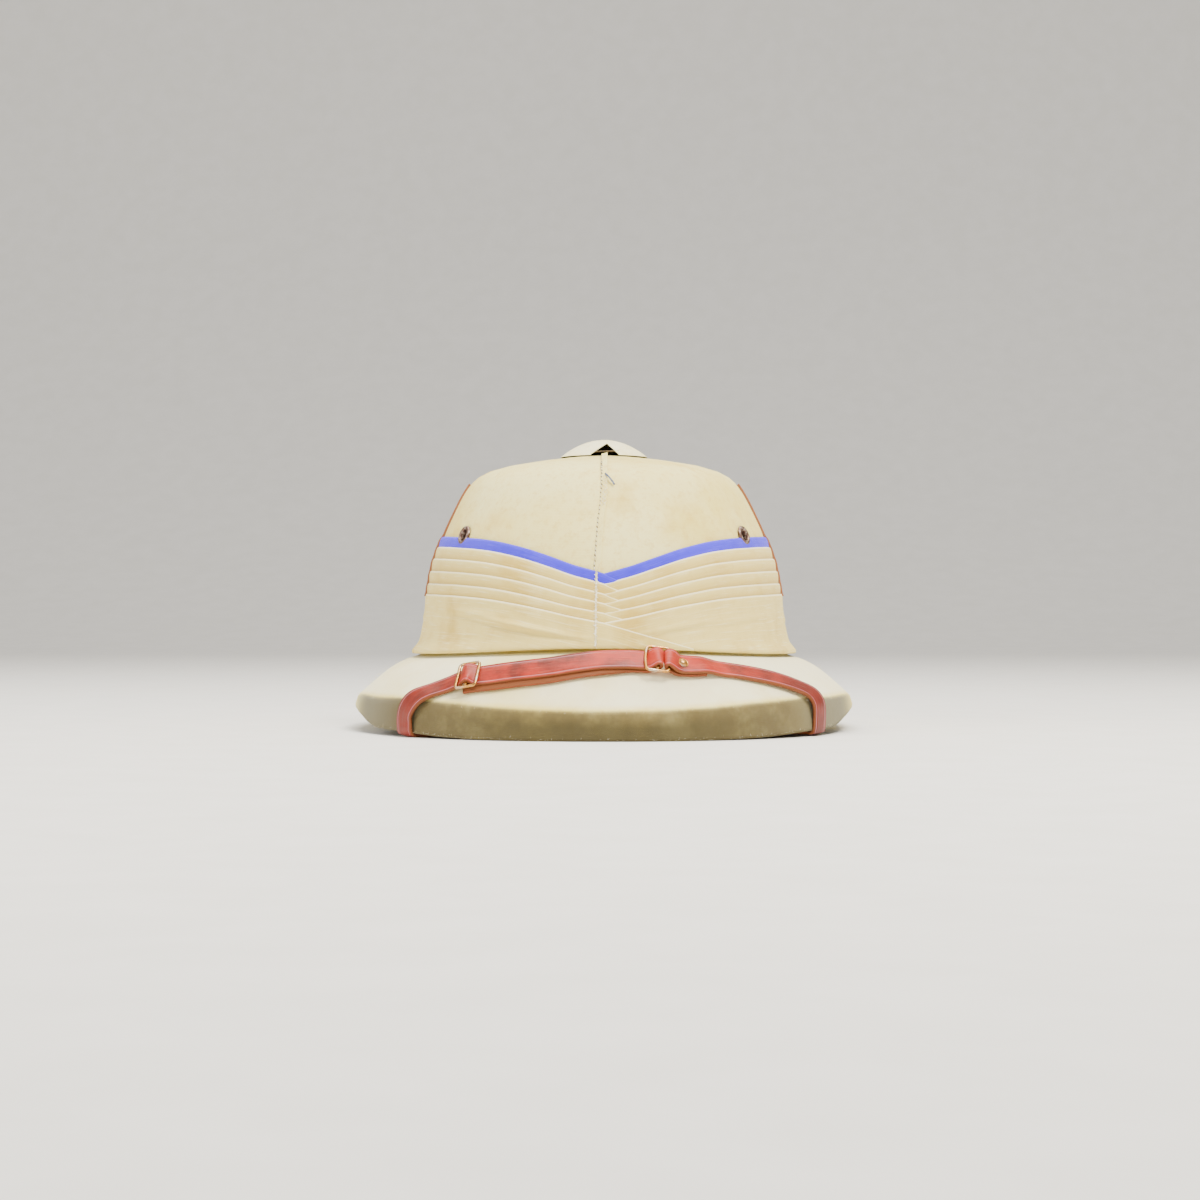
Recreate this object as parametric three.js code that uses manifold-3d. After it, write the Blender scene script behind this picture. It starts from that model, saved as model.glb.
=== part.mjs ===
// Pith helmet: a cork shell covered in drill, a pleated puggaree with a violet-blue top fold,
// a vent cap, eyelets and a leather chin strap worn up over the front brim.
// Millimetres, +Z up, the front of the helmet looks along -Y, the rim rests on z = 0.
import * as THREE from "three";
import { mergeVertices } from "three/addons/utils/BufferGeometryUtils.js";
import Module from "manifold-3d";

const wasm = await Module();
wasm.setup();

// Shell: crown
const crownHalfWidth = 106; // cork crown at the brim, centre to side
const crownHalfLength = 125; // cork crown at the brim, centre to front
const crownRise = 116; // top of the crown above the brim joint at the side
const shellWall = 5;
const ventHoleRadius = 12;

// Shell: brim
const brimHeight = 42.5; // brim joint at the side, above the lowest point of the rim
const frontJointLift = 3.5; // the brim joint is this much higher at the front
const brimSideReach = 38.2;
const brimFrontReach = 38;
const brimBackReach = 48;
const rimSideLift = 16; // the rim is this much higher at the sides than at front and back
const rimSquareness = 2.2; // 2 is an ellipse, more is squarer
const lipHeight = 14.8; // the upright lip at the front
const lipReach = 0.035; // the lip's share of the brim's reach
const rimRound = 1.2;

// Puggaree
const wrapHeight = 68; // top of the blue fold above the brim joint, at the side
const wrapThickness = 4.6; // the whole wrap at its wide lower band
const frontDip = 22.6; // the folds drop this much to a V at the front

// Vent cap
const capRadius = 25.5;
const capRise = 10.4;
const capWall = 2;
const capSquareness = 2; // with a fullness of 1 this is a low bowl that meets the crown at a slope
const capFullness = 0.95;
const windowWidth = 15;
const windowHeight = 7.6;

// Eyelets
const eyeletRadius = 5.6;
const eyeletHoleRadius = 3.1;
const eyeletBarrelWall = 0.8;
const eyeletFlange = 1.1;
const eyeletTurn = 56; // degrees from the front
const eyeletHeight = wrapHeight - 0.6; // above the brim joint, over the blue fold's edge

// Seam and side strips
const seamWidth = 3.4;
const seamThickness = 1;
const sideStripWidth = 8;
const sideStripThickness = 1.5;
const sideStripTop = 98; // above the brim joint
const stripLead = 6; // over this height the strip lifts off the crown onto the folds

// Chin strap and its metal
const strapWidth = 12.4;
const strapThickness = 1.8;
const wireThickness = 1.2; // the bars of the slide and the ring
const frameMargin = 2.5; // how far the frames reach past each edge of the strap
const wireWidth = 1.2;
const studRadius = 3;
const studRise = 1.6;
const anchorWidth = 15;
const anchorHeight = 18;
const anchorThickness = 2;
const anchorTurn = 88; // degrees from the front, on the inner wall
const anchorRise = 14; // middle of the anchor above the brim joint

// Clearances
const gap = 0.3;
const wireGap = 0.4;
const layGap = 0.55; // the strap over the curved brim

const weldDistance = 1e-4; // points this close are one
const curveSteps = 400; // readings of each smooth curve

// Finishes
const drill = new THREE.MeshStandardMaterial({ color: 0xe9ddb9, roughness: 0.95, metalness: 0 });
const violet = new THREE.MeshStandardMaterial({ color: 0x8783e6, roughness: 0.9, metalness: 0 });
const tan = new THREE.MeshStandardMaterial({ color: 0xa85a48, roughness: 0.5, metalness: 0 });
const brass = new THREE.MeshStandardMaterial({ color: 0xc9a977, roughness: 0.35, metalness: 1 });
const bronze = new THREE.MeshStandardMaterial({ color: 0x6b5346, roughness: 0.4, metalness: 1 });

// Half section of the crown, from the vent hole down: shares of crownRise and of the half width
const crownSection = [
  { rise: 0.9985, reach: ventHoleRadius / crownHalfWidth },
  { rise: 0.988, reach: 0.349 },
  { rise: 0.9655, reach: 0.491 },
  { rise: 0.927, reach: 0.627 },
  { rise: 0.882, reach: 0.708 },
  { rise: 0.803, reach: 0.77 },
  { rise: 0.703, reach: 0.826 },
  { rise: 0.605, reach: 0.875 },
  { rise: 0.53, reach: 0.901 },
  { rise: 0.435, reach: 0.925 },
  { rise: 0.319, reach: 0.938 },
  { rise: 0.211, reach: 0.946 },
  { rise: 0.09, reach: 0.968 },
  { rise: 0, reach: 1 },
];

// The brim's top from the joint to the crease above the upright lip: shares of its reach and of its fall
const brimSection = [
  { reach: 0, fall: 0 },
  { reach: 0.25, fall: 0.11 },
  { reach: 0.5, fall: 0.32 },
  { reach: 0.75, fall: 0.64 },
  { reach: 1, fall: 1 },
];

// Round the rim from the front to the back: lift is a share of rimSideLift and lip of lipHeight
const rimSection = [
  { turn: 0, lift: 0, lip: 1 },
  { turn: 8, lift: 0, lip: 1.02 },
  { turn: 21, lift: 0.02, lip: 1.1 },
  { turn: 34, lift: 0.07, lip: 1.2 },
  { turn: 48, lift: 0.19, lip: 1.16 },
  { turn: 58, lift: 0.24, lip: 1.1 },
  { turn: 64, lift: 0.4, lip: 0.93 },
  { turn: 70, lift: 0.62, lip: 0.7 },
  { turn: 76, lift: 0.76, lip: 0.52 },
  { turn: 90, lift: 0.94, lip: 0.26 },
  { turn: 106, lift: 0.85, lip: 0.36 },
  { turn: 122, lift: 0.5, lip: 0.72 },
  { turn: 142, lift: 0.2, lip: 1 },
  { turn: 164, lift: 0, lip: 1.04 },
  { turn: 180, lift: 0, lip: 1 },
];

// How much of frontDip the folds have dropped at each turn from the front
const dipSection = [
  { turn: 0, share: 1 },
  { turn: 5, share: 0.89 },
  { turn: 10, share: 0.78 },
  { turn: 18, share: 0.57 },
  { turn: 26, share: 0.39 },
  { turn: 36, share: 0.225 },
  { turn: 46, share: 0.13 },
  { turn: 58, share: 0.07 },
  { turn: 74, share: 0.02 },
  { turn: 90, share: 0 },
];

// Folds of the puggaree from the top down: top is a share of wrapHeight, dip of frontDip
// and thickness of wrapThickness
const folds = [
  { name: "puggaree_top_fold", top: 1, dip: 1, thickness: 0.26, finish: violet },
  { name: "puggaree_fold_1", top: 0.913, dip: 0.98, thickness: 0.39, finish: drill },
  { name: "puggaree_fold_2", top: 0.813, dip: 0.915, thickness: 0.52, finish: drill },
  { name: "puggaree_fold_3", top: 0.71, dip: 0.83, thickness: 0.65, finish: drill },
  { name: "puggaree_fold_4", top: 0.606, dip: 0.76, thickness: 0.78, finish: drill },
  { name: "puggaree_band", top: 0.516, dip: 0.735, thickness: 1, finish: drill },
];

// Route of the strap over the brim, from the left rim to the right rim: turn in degrees from
// the front, out as a share of the brim's reach
const strapRoute = [
  { turn: -45.6, out: 0.993 },
  { turn: -46, out: 0.985 },
  { turn: -45.2, out: 0.977 },
  { turn: -42.9, out: 0.958 },
  { turn: -40.4, out: 0.895 },
  { turn: -38.1, out: 0.79 },
  { turn: -35, out: 0.71 },
  { turn: -31.1, out: 0.65 },
  { turn: -29.1, out: 0.61 },
  { turn: -24.1, out: 0.55 },
  { turn: -19.3, out: 0.504 },
  { turn: -12.2, out: 0.449 },
  { turn: -6.5, out: 0.392 },
  { turn: -0.8, out: 0.345 },
  { turn: 4.9, out: 0.335 },
  { turn: 10.1, out: 0.358 },
  { turn: 14.5, out: 0.398 },
  { turn: 18.5, out: 0.43 },
  { turn: 26.2, out: 0.47 },
  { turn: 32, out: 0.548 },
  { turn: 37.8, out: 0.662 },
  { turn: 42.1, out: 0.787 },
  { turn: 45.2, out: 0.893 },
  { turn: 48.2, out: 0.957 },
  { turn: 50.8, out: 0.976 },
  { turn: 51.7, out: 0.985 },
  { turn: 51.7, out: 0.993 },
];
const slideTurn = -31.6; // middle bar of the slide
const ringTurn = 13.2; // middle bar of the ring
const studTurn = 18.8;
const tailTurn = 23.6; // end of the right strap's folded end

const turnCount = 60;
const degrees = Math.PI / 180;
const centreY = (brimFrontReach - brimBackReach) / 2;

// Straight-line reading of a table's column
function tableValue(rows, key, column, at) {
  let i = 0;
  while (i < rows.length - 2 && at > rows[i + 1][key]) {
    i += 1;
  }
  const share = THREE.MathUtils.clamp((at - rows[i][key]) / (rows[i + 1][key] - rows[i][key]), 0, 1);
  return THREE.MathUtils.lerp(rows[i][column], rows[i + 1][column], share);
}

// Smooth reading of a table's column that never overshoots its rows
function smoothValue(rows, key, column, at) {
  const last = rows.length - 1;
  let i = 0;
  while (i < last - 1 && at > rows[i + 1][key]) {
    i += 1;
  }
  const rate = (k) => (rows[k + 1][column] - rows[k][column]) / (rows[k + 1][key] - rows[k][key]);
  const slope = (k) => {
    if (k === 0 || k === last) {
      return 0;
    }
    const before = rate(k - 1);
    const after = rate(k);
    return before * after <= 0 ? 0 : (2 * before * after) / (before + after);
  };
  const span = rows[i + 1][key] - rows[i][key];
  const s = THREE.MathUtils.clamp((at - rows[i][key]) / span, 0, 1);
  const start = rows[i][column];
  const end = rows[i + 1][column];
  return (
    start * (1 + 2 * s) * (1 - s) ** 2 +
    end * s * s * (3 - 2 * s) +
    span * s * (1 - s) * (slope(i) * (1 - s) - slope(i + 1) * s)
  );
}

// The crown's outer section as a curve, sampled from the vent hole down to the joint
const crownCurve = new THREE.SplineCurve(crownSection.map((row) => new THREE.Vector2(row.reach, row.rise)));
const crownSamples = crownCurve.getPoints(curveSteps).map((point) => ({ fall: 1 - point.y, reach: point.x }));
const crownReach = (rise) => tableValue(crownSamples, "fall", "reach", 1 - rise);

// A point on the outside of the crown at a height above the joint
function crownPoint(turn, height) {
  const reach = crownReach(height / crownRise);
  return new THREE.Vector3(
    crownHalfWidth * reach * Math.sin(turn),
    centreY - crownHalfLength * reach * Math.cos(turn),
    brimHeight + height,
  );
}

const jointLift = (turn) => frontJointLift * Math.max(0, Math.cos(turn)) ** 4;

// Heights of the crown's facet rings at one turn, from the vent hole down to the brim joint
const ringRises = crownSection.map((row) => row.rise);
function ringHeights(turn) {
  const joint = jointLift(turn);
  const top = ringRises[0] * crownRise;
  return ringRises.map((rise) => THREE.MathUtils.mapLinear(rise * crownRise, 0, top, joint, top));
}
const rimRow = (turn, column) => smoothValue(rimSection, "turn", column, Math.abs(turn) / degrees);

// The rim in plan
function rimPlan(turn) {
  const power = 2 / rimSquareness;
  const sine = Math.sin(turn);
  const cosine = Math.cos(turn);
  const length = crownHalfLength + (cosine > 0 ? brimFrontReach : brimBackReach);
  return new THREE.Vector2(
    (crownHalfWidth + brimSideReach) * Math.sign(sine) * Math.abs(sine) ** power,
    centreY - length * Math.sign(cosine) * Math.abs(cosine) ** power,
  );
}

// A point on the top of the brim: out is 0 at the crown and 1 at the rim's lower edge
function brimPoint(turn, out) {
  const joint = crownPoint(turn, jointLift(turn));
  const plan = new THREE.Vector2(joint.x, joint.y).lerp(rimPlan(turn), out);
  const rim = rimSideLift * rimRow(turn, "lift");
  const crease = rim + lipHeight * rimRow(turn, "lip");
  const lipStart = 1 - lipReach;
  if (out > lipStart) {
    const share = (out - lipStart) / (1 - lipStart);
    return new THREE.Vector3(plan.x, plan.y, THREE.MathUtils.lerp(crease, rim, share));
  }
  const fall = smoothFall(out / lipStart);
  return new THREE.Vector3(plan.x, plan.y, THREE.MathUtils.lerp(joint.z, crease, fall));
}

const fallCurve = new THREE.SplineCurve(brimSection.map((row) => new THREE.Vector2(row.reach, row.fall)));
const fallSamples = fallCurve.getPoints(curveSteps).map((point) => ({ reach: point.x, fall: point.y }));
function smoothFall(share) {
  return tableValue(fallSamples, "reach", "fall", share);
}

// The outward normal of a surface given by turn and a second value that runs downwards
function normalOf(surface, turn, value, step) {
  const across = surface(turn + 0.01, value).sub(surface(turn - 0.01, value));
  const down = surface(turn, value + step).sub(surface(turn, value - step));
  return across.cross(down).normalize().negate();
}
const crownNormal = (turn, height) => normalOf(crownPoint, turn, height, -0.5);
const brimNormal = (turn, out) => normalOf(brimPoint, turn, out, 0.02);

// Turns a solid's faces outwards where its volume comes out negative, and merges its points
function closedGeometry(positions, triangles) {
  const geometry = new THREE.BufferGeometry();
  geometry.setAttribute("position", new THREE.Float32BufferAttribute(positions, 3));
  let volume = 0;
  const corner = (k) => new THREE.Vector3().fromArray(positions, 3 * triangles[k]);
  for (let k = 0; k < triangles.length; k += 3) {
    volume += corner(k).dot(corner(k + 1).cross(corner(k + 2)));
  }
  const index = volume > 0 ? triangles : triangles.toReversed();
  geometry.setIndex(index);
  return mergeVertices(geometry, weldDistance);
}

// A ring-shaped solid from loops of points, one loop for each turn round the helmet
function loopSolid(loops) {
  const rounds = loops.length;
  const sides = loops[0].length;
  const positions = loops.flat().flatMap((point) => point.toArray());
  const triangles = [];
  for (let i = 0; i < rounds; i += 1) {
    for (let j = 0; j < sides; j += 1) {
      const a = i * sides + j;
      const b = i * sides + ((j + 1) % sides);
      const c = ((i + 1) % rounds) * sides + ((j + 1) % sides);
      const d = ((i + 1) % rounds) * sides + j;
      triangles.push(a, b, c, a, c, d);
    }
  }
  return closedGeometry(positions, triangles);
}

// A flat band along stations, each a place and the direction that its face looks in
function bandSolid(stations, width, thickness) {
  const positions = [];
  const triangles = [];
  const last = stations.length - 1;
  stations.forEach((station, i) => {
    const along = stations[Math.min(i + 1, last)].place.clone();
    along.sub(stations[Math.max(i - 1, 0)].place).normalize();
    const side = new THREE.Vector3().crossVectors(station.face, along).normalize();
    const face = new THREE.Vector3().crossVectors(along, side);
    for (const [s, f] of [[-1, -1], [1, -1], [1, 1], [-1, 1]]) {
      const corner = station.place.clone().addScaledVector(side, (s * width) / 2);
      corner.addScaledVector(face, (f * thickness) / 2);
      positions.push(...corner.toArray());
    }
  });
  for (let i = 0; i < last; i += 1) {
    for (let j = 0; j < 4; j += 1) {
      const a = 4 * i + j;
      const b = 4 * i + ((j + 1) % 4);
      triangles.push(a, b, b + 4, a, b + 4, a + 4);
    }
  }
  const end = 4 * last;
  triangles.push(0, 2, 1, 0, 3, 2, end, end + 1, end + 2, end, end + 2, end + 3);
  return closedGeometry(positions, triangles);
}

// Joins and cuts
function toSolid(geometry) {
  const bare = geometry.clone();
  bare.deleteAttribute("normal");
  bare.deleteAttribute("uv");
  const merged = mergeVertices(bare, weldDistance);
  return new wasm.Manifold(
    new wasm.Mesh({
      numProp: 3,
      vertProperties: merged.attributes.position.array,
      triVerts: new Uint32Array(merged.index.array),
    }),
  );
}
function toGeometry(solid) {
  const mesh = solid.getMesh();
  const geometry = new THREE.BufferGeometry();
  geometry.setAttribute("position", new THREE.BufferAttribute(mesh.vertProperties, 3));
  geometry.setIndex(new THREE.BufferAttribute(mesh.triVerts, 1));
  return geometry;
}
const cut = (geometry, cutters) =>
  toGeometry(cutters.reduce((solid, cutter) => solid.subtract(toSolid(cutter)), toSolid(geometry)));

// Moves a geometry whose own +Z looks outwards to a place and a facing
function seated(geometry, place, face, across) {
  const side = across.clone().addScaledVector(face, -across.dot(face)).normalize();
  const up = new THREE.Vector3().crossVectors(face, side);
  const matrix = new THREE.Matrix4().makeBasis(side, up, face).setPosition(place);
  return geometry.clone().applyMatrix4(matrix);
}

const group = new THREE.Group();
function addPiece(name, geometry, finish) {
  const bare = geometry.index ? geometry.toNonIndexed() : geometry;
  bare.computeVertexNormals();
  const mesh = new THREE.Mesh(bare, finish);
  mesh.name = name;
  group.add(mesh);
}

const turnStep = (360 * degrees) / turnCount;
const turns = Array.from({ length: turnCount }, (_, i) => -180 * degrees + i * turnStep);

// Eyelets: a turned flange and barrel, set square to the crown
const eyeletBarrelRadius = eyeletHoleRadius + eyeletBarrelWall;
const eyeletFaces = [-1, 1].map((sideSign) => {
  const turn = sideSign * eyeletTurn * degrees;
  return { place: crownPoint(turn, eyeletHeight), face: crownNormal(turn, eyeletHeight) };
});
const upwards = new THREE.Vector3(0, 0, 1);
function eyeletGeometry() {
  const foot = gap + wrapThickness * folds[0].thickness * 0.2;
  const profile = [
    [eyeletHoleRadius, -shellWall],
    [eyeletBarrelRadius, -shellWall],
    [eyeletBarrelRadius, foot],
    [eyeletRadius, foot],
    [eyeletRadius - 0.5, foot + eyeletFlange],
    [eyeletHoleRadius + 0.6, foot + eyeletFlange],
    [eyeletHoleRadius, foot + eyeletFlange * 0.4],
    [eyeletHoleRadius, -shellWall],
  ];
  const lathe = new THREE.LatheGeometry(profile.map(([r, z]) => new THREE.Vector2(r, z)), 20);
  return lathe.rotateX(Math.PI / 2);
}
function roundCutter(radius, depth) {
  return new THREE.CylinderGeometry(radius, radius, depth, 24).rotateX(Math.PI / 2);
}

// Shell: one cork body, crown and brim, open below and at the vent
function shellLoop(turn) {
  const lipStart = 1 - lipReach;
  const brimOuts = brimSection.slice(1).map((row) => row.reach * lipStart);
  const heights = ringHeights(turn);
  const outside = heights.map((height) => crownPoint(turn, height));
  const inside = heights.map((height) => wrapPoint(turn, height, -shellWall));
  brimOuts.forEach((out) => {
    outside.push(brimPoint(turn, out));
    inside.push(brimPoint(turn, out).addScaledVector(brimNormal(turn, out), -shellWall));
  });
  const edge = brimPoint(turn, 1);
  const inward = new THREE.Vector3(-Math.sin(turn), Math.cos(turn), 0);
  const heel = brimPoint(turn, (1 + lipStart) / 2);
  outside.push(heel);
  outside.push(edge.clone().add(new THREE.Vector3(0, 0, rimRound)));
  outside.push(edge.clone().addScaledVector(inward, rimRound));
  inside.push(edge.clone().addScaledVector(inward, shellWall + rimRound));
  return [...outside, ...inside.toReversed()];
}
// A point at an offset from the outside of the crown
function wrapPoint(turn, height, offset) {
  return crownPoint(turn, height).addScaledVector(crownNormal(turn, height), offset);
}
const ventOpening = roundCutter(ventHoleRadius, 6 * shellWall).translate(0, centreY, brimHeight + crownRise);
const eyeletHoles = eyeletFaces.map(({ place, face }) =>
  seated(roundCutter(eyeletBarrelRadius + gap, 4 * shellWall), place, face, upwards),
);
addPiece("helmet_shell", cut(loopSolid(turns.map(shellLoop)), [ventOpening, ...eyeletHoles]), drill);

// Puggaree: each fold is a closed ring that lies over the crown, and the lower ones stand further out
const dipPoints = dipSection.map((row) => new THREE.Vector2(row.turn, row.share));
const dipSamples = new THREE.SplineCurve(dipPoints).getPoints(curveSteps).map((point) => ({
  turn: point.x,
  share: point.y,
}));
const dipShare = (turn) => tableValue(dipSamples, "turn", "share", Math.abs(turn) / degrees);
const foldTop = (fold, turn) => fold.top * wrapHeight - fold.dip * frontDip * dipShare(turn);
function foldLoop(fold, next, turn) {
  const top = foldTop(fold, turn);
  const bottom = next ? foldTop(next, turn) + gap : jointLift(turn) + 2 * gap;
  const thickness = fold.thickness * wrapThickness;
  const flare = ringHeights(turn).at(-2); // the wide band bends out over the crown's foot
  const heights = next ? [top, bottom] : [top, flare, bottom];
  const outside = heights.map((height) => wrapPoint(turn, height, thickness));
  const inside = heights.map((height) => wrapPoint(turn, height, gap));
  return [...outside, ...inside.toReversed()];
}
folds.forEach((fold, i) => {
  const ring = loopSolid(turns.map((turn) => foldLoop(fold, folds[i + 1], turn)));
  const notches = eyeletFaces.map(({ place, face }) =>
    seated(roundCutter(eyeletRadius + gap, 6 * wrapThickness), place, face, upwards),
  );
  addPiece(fold.name, i === 0 ? cut(ring, notches) : ring, fold.finish);
});

eyeletFaces.forEach(({ place, face }, i) => {
  addPiece(["eyelet_left", "eyelet_right"][i], seated(eyeletGeometry(), place, face, upwards), bronze);
});

// Vent cap: a thin dome that follows the top of the crown, with a three-cornered window at its front
function capLoop(turn) {
  const radii = [1, 0.93, 0.8, 0.62, 0.4, 0.2, 0.02].map((share) => share * capRadius);
  const dome = (radius, scale, rise) => {
    const share = Math.min(1, radius / scale);
    return rise * (1 - share ** capSquareness) ** capFullness;
  };
  const foot = (radius) => {
    const across = (radius * Math.sin(turn)) / crownHalfWidth;
    const reach = Math.hypot(across, (radius * Math.cos(turn)) / crownHalfLength);
    return brimHeight + crownRise * crownRiseAt(reach) + gap;
  };
  const at = (radius, z) => new THREE.Vector3(radius * Math.sin(turn), centreY - radius * Math.cos(turn), z);
  const base = foot(capRadius);
  const outside = radii.map((radius) => at(radius, base + dome(radius, capRadius, capRise)));
  const inner = radii.map((radius) => radius * (1 - capWall / capRadius));
  const inside = inner.map((radius) => {
    const z = base + dome(radius, inner[0], capRise - capWall);
    return at(radius, Math.max(z, foot(radius)));
  });
  return { outside, inside };
}
function crownRiseAt(reach) {
  const rows = crownSamples.map((row) => ({ reach: row.reach, rise: 1 - row.fall }));
  return reach <= rows[0].reach ? rows[0].rise : tableValue(rows, "reach", "rise", reach);
}
function capSolid() {
  const sections = turns.filter((_, i) => i % 2 === 0).map(capLoop);
  const positions = [];
  const triangles = [];
  const rows = sections[0].outside.length;
  const rounds = sections.length;
  sections.forEach(({ outside, inside }) => {
    [...outside, ...inside].forEach((point) => positions.push(...point.toArray()));
  });
  const topZ = Math.max(...positions.filter((_, k) => k % 3 === 2));
  const poles = [topZ, topZ - capWall].map((z) => new THREE.Vector3(0, centreY, z));
  poles.forEach((pole) => positions.push(...pole.toArray()));
  const outerPole = 2 * rows * rounds;
  const at = (i, j) => (i % rounds) * 2 * rows + j;
  for (let i = 0; i < rounds; i += 1) {
    for (let j = 0; j < rows - 1; j += 1) {
      triangles.push(at(i, j), at(i + 1, j), at(i + 1, j + 1), at(i, j), at(i + 1, j + 1), at(i, j + 1));
      const k = rows + j;
      triangles.push(at(i, k), at(i + 1, k + 1), at(i + 1, k), at(i, k), at(i, k + 1), at(i + 1, k + 1));
    }
    triangles.push(at(i, rows - 1), at(i + 1, rows - 1), outerPole);
    triangles.push(at(i, 2 * rows - 1), outerPole + 1, at(i + 1, 2 * rows - 1));
    triangles.push(at(i, 0), at(i + 1, rows), at(i + 1, 0), at(i, 0), at(i, rows), at(i + 1, rows));
  }
  return closedGeometry(positions, triangles);
}
function windowCutter() {
  const outline = new THREE.Shape();
  outline.moveTo(-windowWidth / 2, -2 * capWall);
  outline.lineTo(windowWidth / 2, -2 * capWall);
  outline.lineTo(windowWidth / 2, 0);
  outline.lineTo(0, windowHeight);
  outline.lineTo(-windowWidth / 2, 0);
  const prism = new THREE.ExtrudeGeometry(outline, { depth: capRadius + capWall, bevelEnabled: false });
  return prism.rotateX(Math.PI / 2).translate(0, centreY, brimHeight + crownRise);
}
addPiece("vent_cap", cut(capSolid(), [windowCutter()]), drill);

// A strip that runs down the crown at one turn, over a cover whose thickness is given by height
function crownStrip(turn, from, to, width, thickness, cover) {
  const between = ringHeights(turn).filter((height) => height < from - gap && height > to + gap);
  const stations = [from, ...between, to].map((height) => {
    const face = crownNormal(turn, height);
    return { place: wrapPoint(turn, height, cover(height) + gap + thickness / 2), face };
  });
  return bandSolid(stations, width, thickness);
}
const seamFrom = crownRise * crownRiseAt((capRadius + 2 * gap) / crownHalfLength);
const seamTo = foldTop(folds[0], 0) + 2 * gap;
addPiece(
  "front_seam",
  crownStrip(0, seamFrom, seamTo, seamWidth, seamThickness, () => 0),
  drill,
);

// Leather side strips, from the crown down over the folds to the wide band
const coverRows = folds.map((fold) => ({
  fall: (1 - fold.top) * wrapHeight,
  thickness: fold.thickness * wrapThickness,
}));
const sideCover = (height) => {
  const fall = wrapHeight + 2 * gap - height;
  if (fall < 0) {
    return Math.max(0, coverRows[0].thickness * (1 + fall / stripLead));
  }
  return tableValue(coverRows, "fall", "thickness", fall);
};
for (const [name, sideSign] of [["side_strip_left", -1], ["side_strip_right", 1]]) {
  const strip = crownStrip(
    sideSign * 90 * degrees,
    sideStripTop,
    folds.at(-1).top * wrapHeight + 2 * gap,
    sideStripWidth,
    sideStripThickness,
    sideCover,
  );
  addPiece(name, strip, tan);
}

// Chin strap
const layHeight = layGap + strapThickness / 2; // a single layer's middle over the brim
const secondHeight = layHeight + strapThickness + gap;
const loopRadius = wireThickness / 2 + wireGap + strapThickness / 2;
const barSpacing = 2 * (loopRadius + strapThickness / 2) + gap;

const routeCurve = new THREE.SplineCurve(strapRoute.map((row) => new THREE.Vector2(row.turn, row.out)));
const routeSamples = routeCurve.getPoints(2 * curveSteps);
const routeLengths = [0];
const layPoint = (point) => brimPoint(point.x * degrees, point.y);
for (let i = 1; i < routeSamples.length; i += 1) {
  const step = layPoint(routeSamples[i]).distanceTo(layPoint(routeSamples[i - 1]));
  routeLengths.push(routeLengths[i - 1] + step);
}
const routeTable = routeSamples.map((point, i) => ({ along: routeLengths[i], turn: point.x, out: point.y }));
const routeLength = routeLengths.at(-1);
const alongAtTurn = (turn) => routeTable.find((row) => row.turn >= turn).along;

// A station of the strap: a distance along the route and a height over the brim
function station(along, height, faceSign = 1) {
  const turn = tableValue(routeTable, "along", "turn", along) * degrees;
  const out = tableValue(routeTable, "along", "out", along);
  const face = brimNormal(turn, out);
  const place = brimPoint(turn, out).addScaledVector(face, height);
  return { place, face: face.multiplyScalar(faceSign) };
}

// Stations along part of the route, whose height is read from rows of along and height
function run(from, to, rows, faceSign, spacing) {
  const count = Math.max(2, Math.round(Math.abs(to - from) / spacing));
  const sorted = [...rows].sort((a, b) => a.along - b.along);
  return Array.from({ length: count + 1 }, (_, i) => {
    const along = THREE.MathUtils.lerp(from, to, i / count);
    return station(along, smoothValue(sorted, "along", "height", along), faceSign);
  });
}

// Half a turn round a bar, from the layer under it to the layer over it or the other way
function loopRound(along, middle, towards, upwardsSign, faceSign) {
  const steps = 8;
  const hub = station(along, middle).place;
  return Array.from({ length: steps - 1 }, (_, i) => {
    const angle = -Math.PI / 2 + (Math.PI * (i + 1)) / steps;
    const ahead = towards * loopRadius * Math.cos(angle);
    const place = station(along + ahead, middle + upwardsSign * loopRadius * Math.sin(angle)).place;
    return { place, face: place.clone().sub(hub).normalize().multiplyScalar(faceSign) };
  });
}

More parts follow.
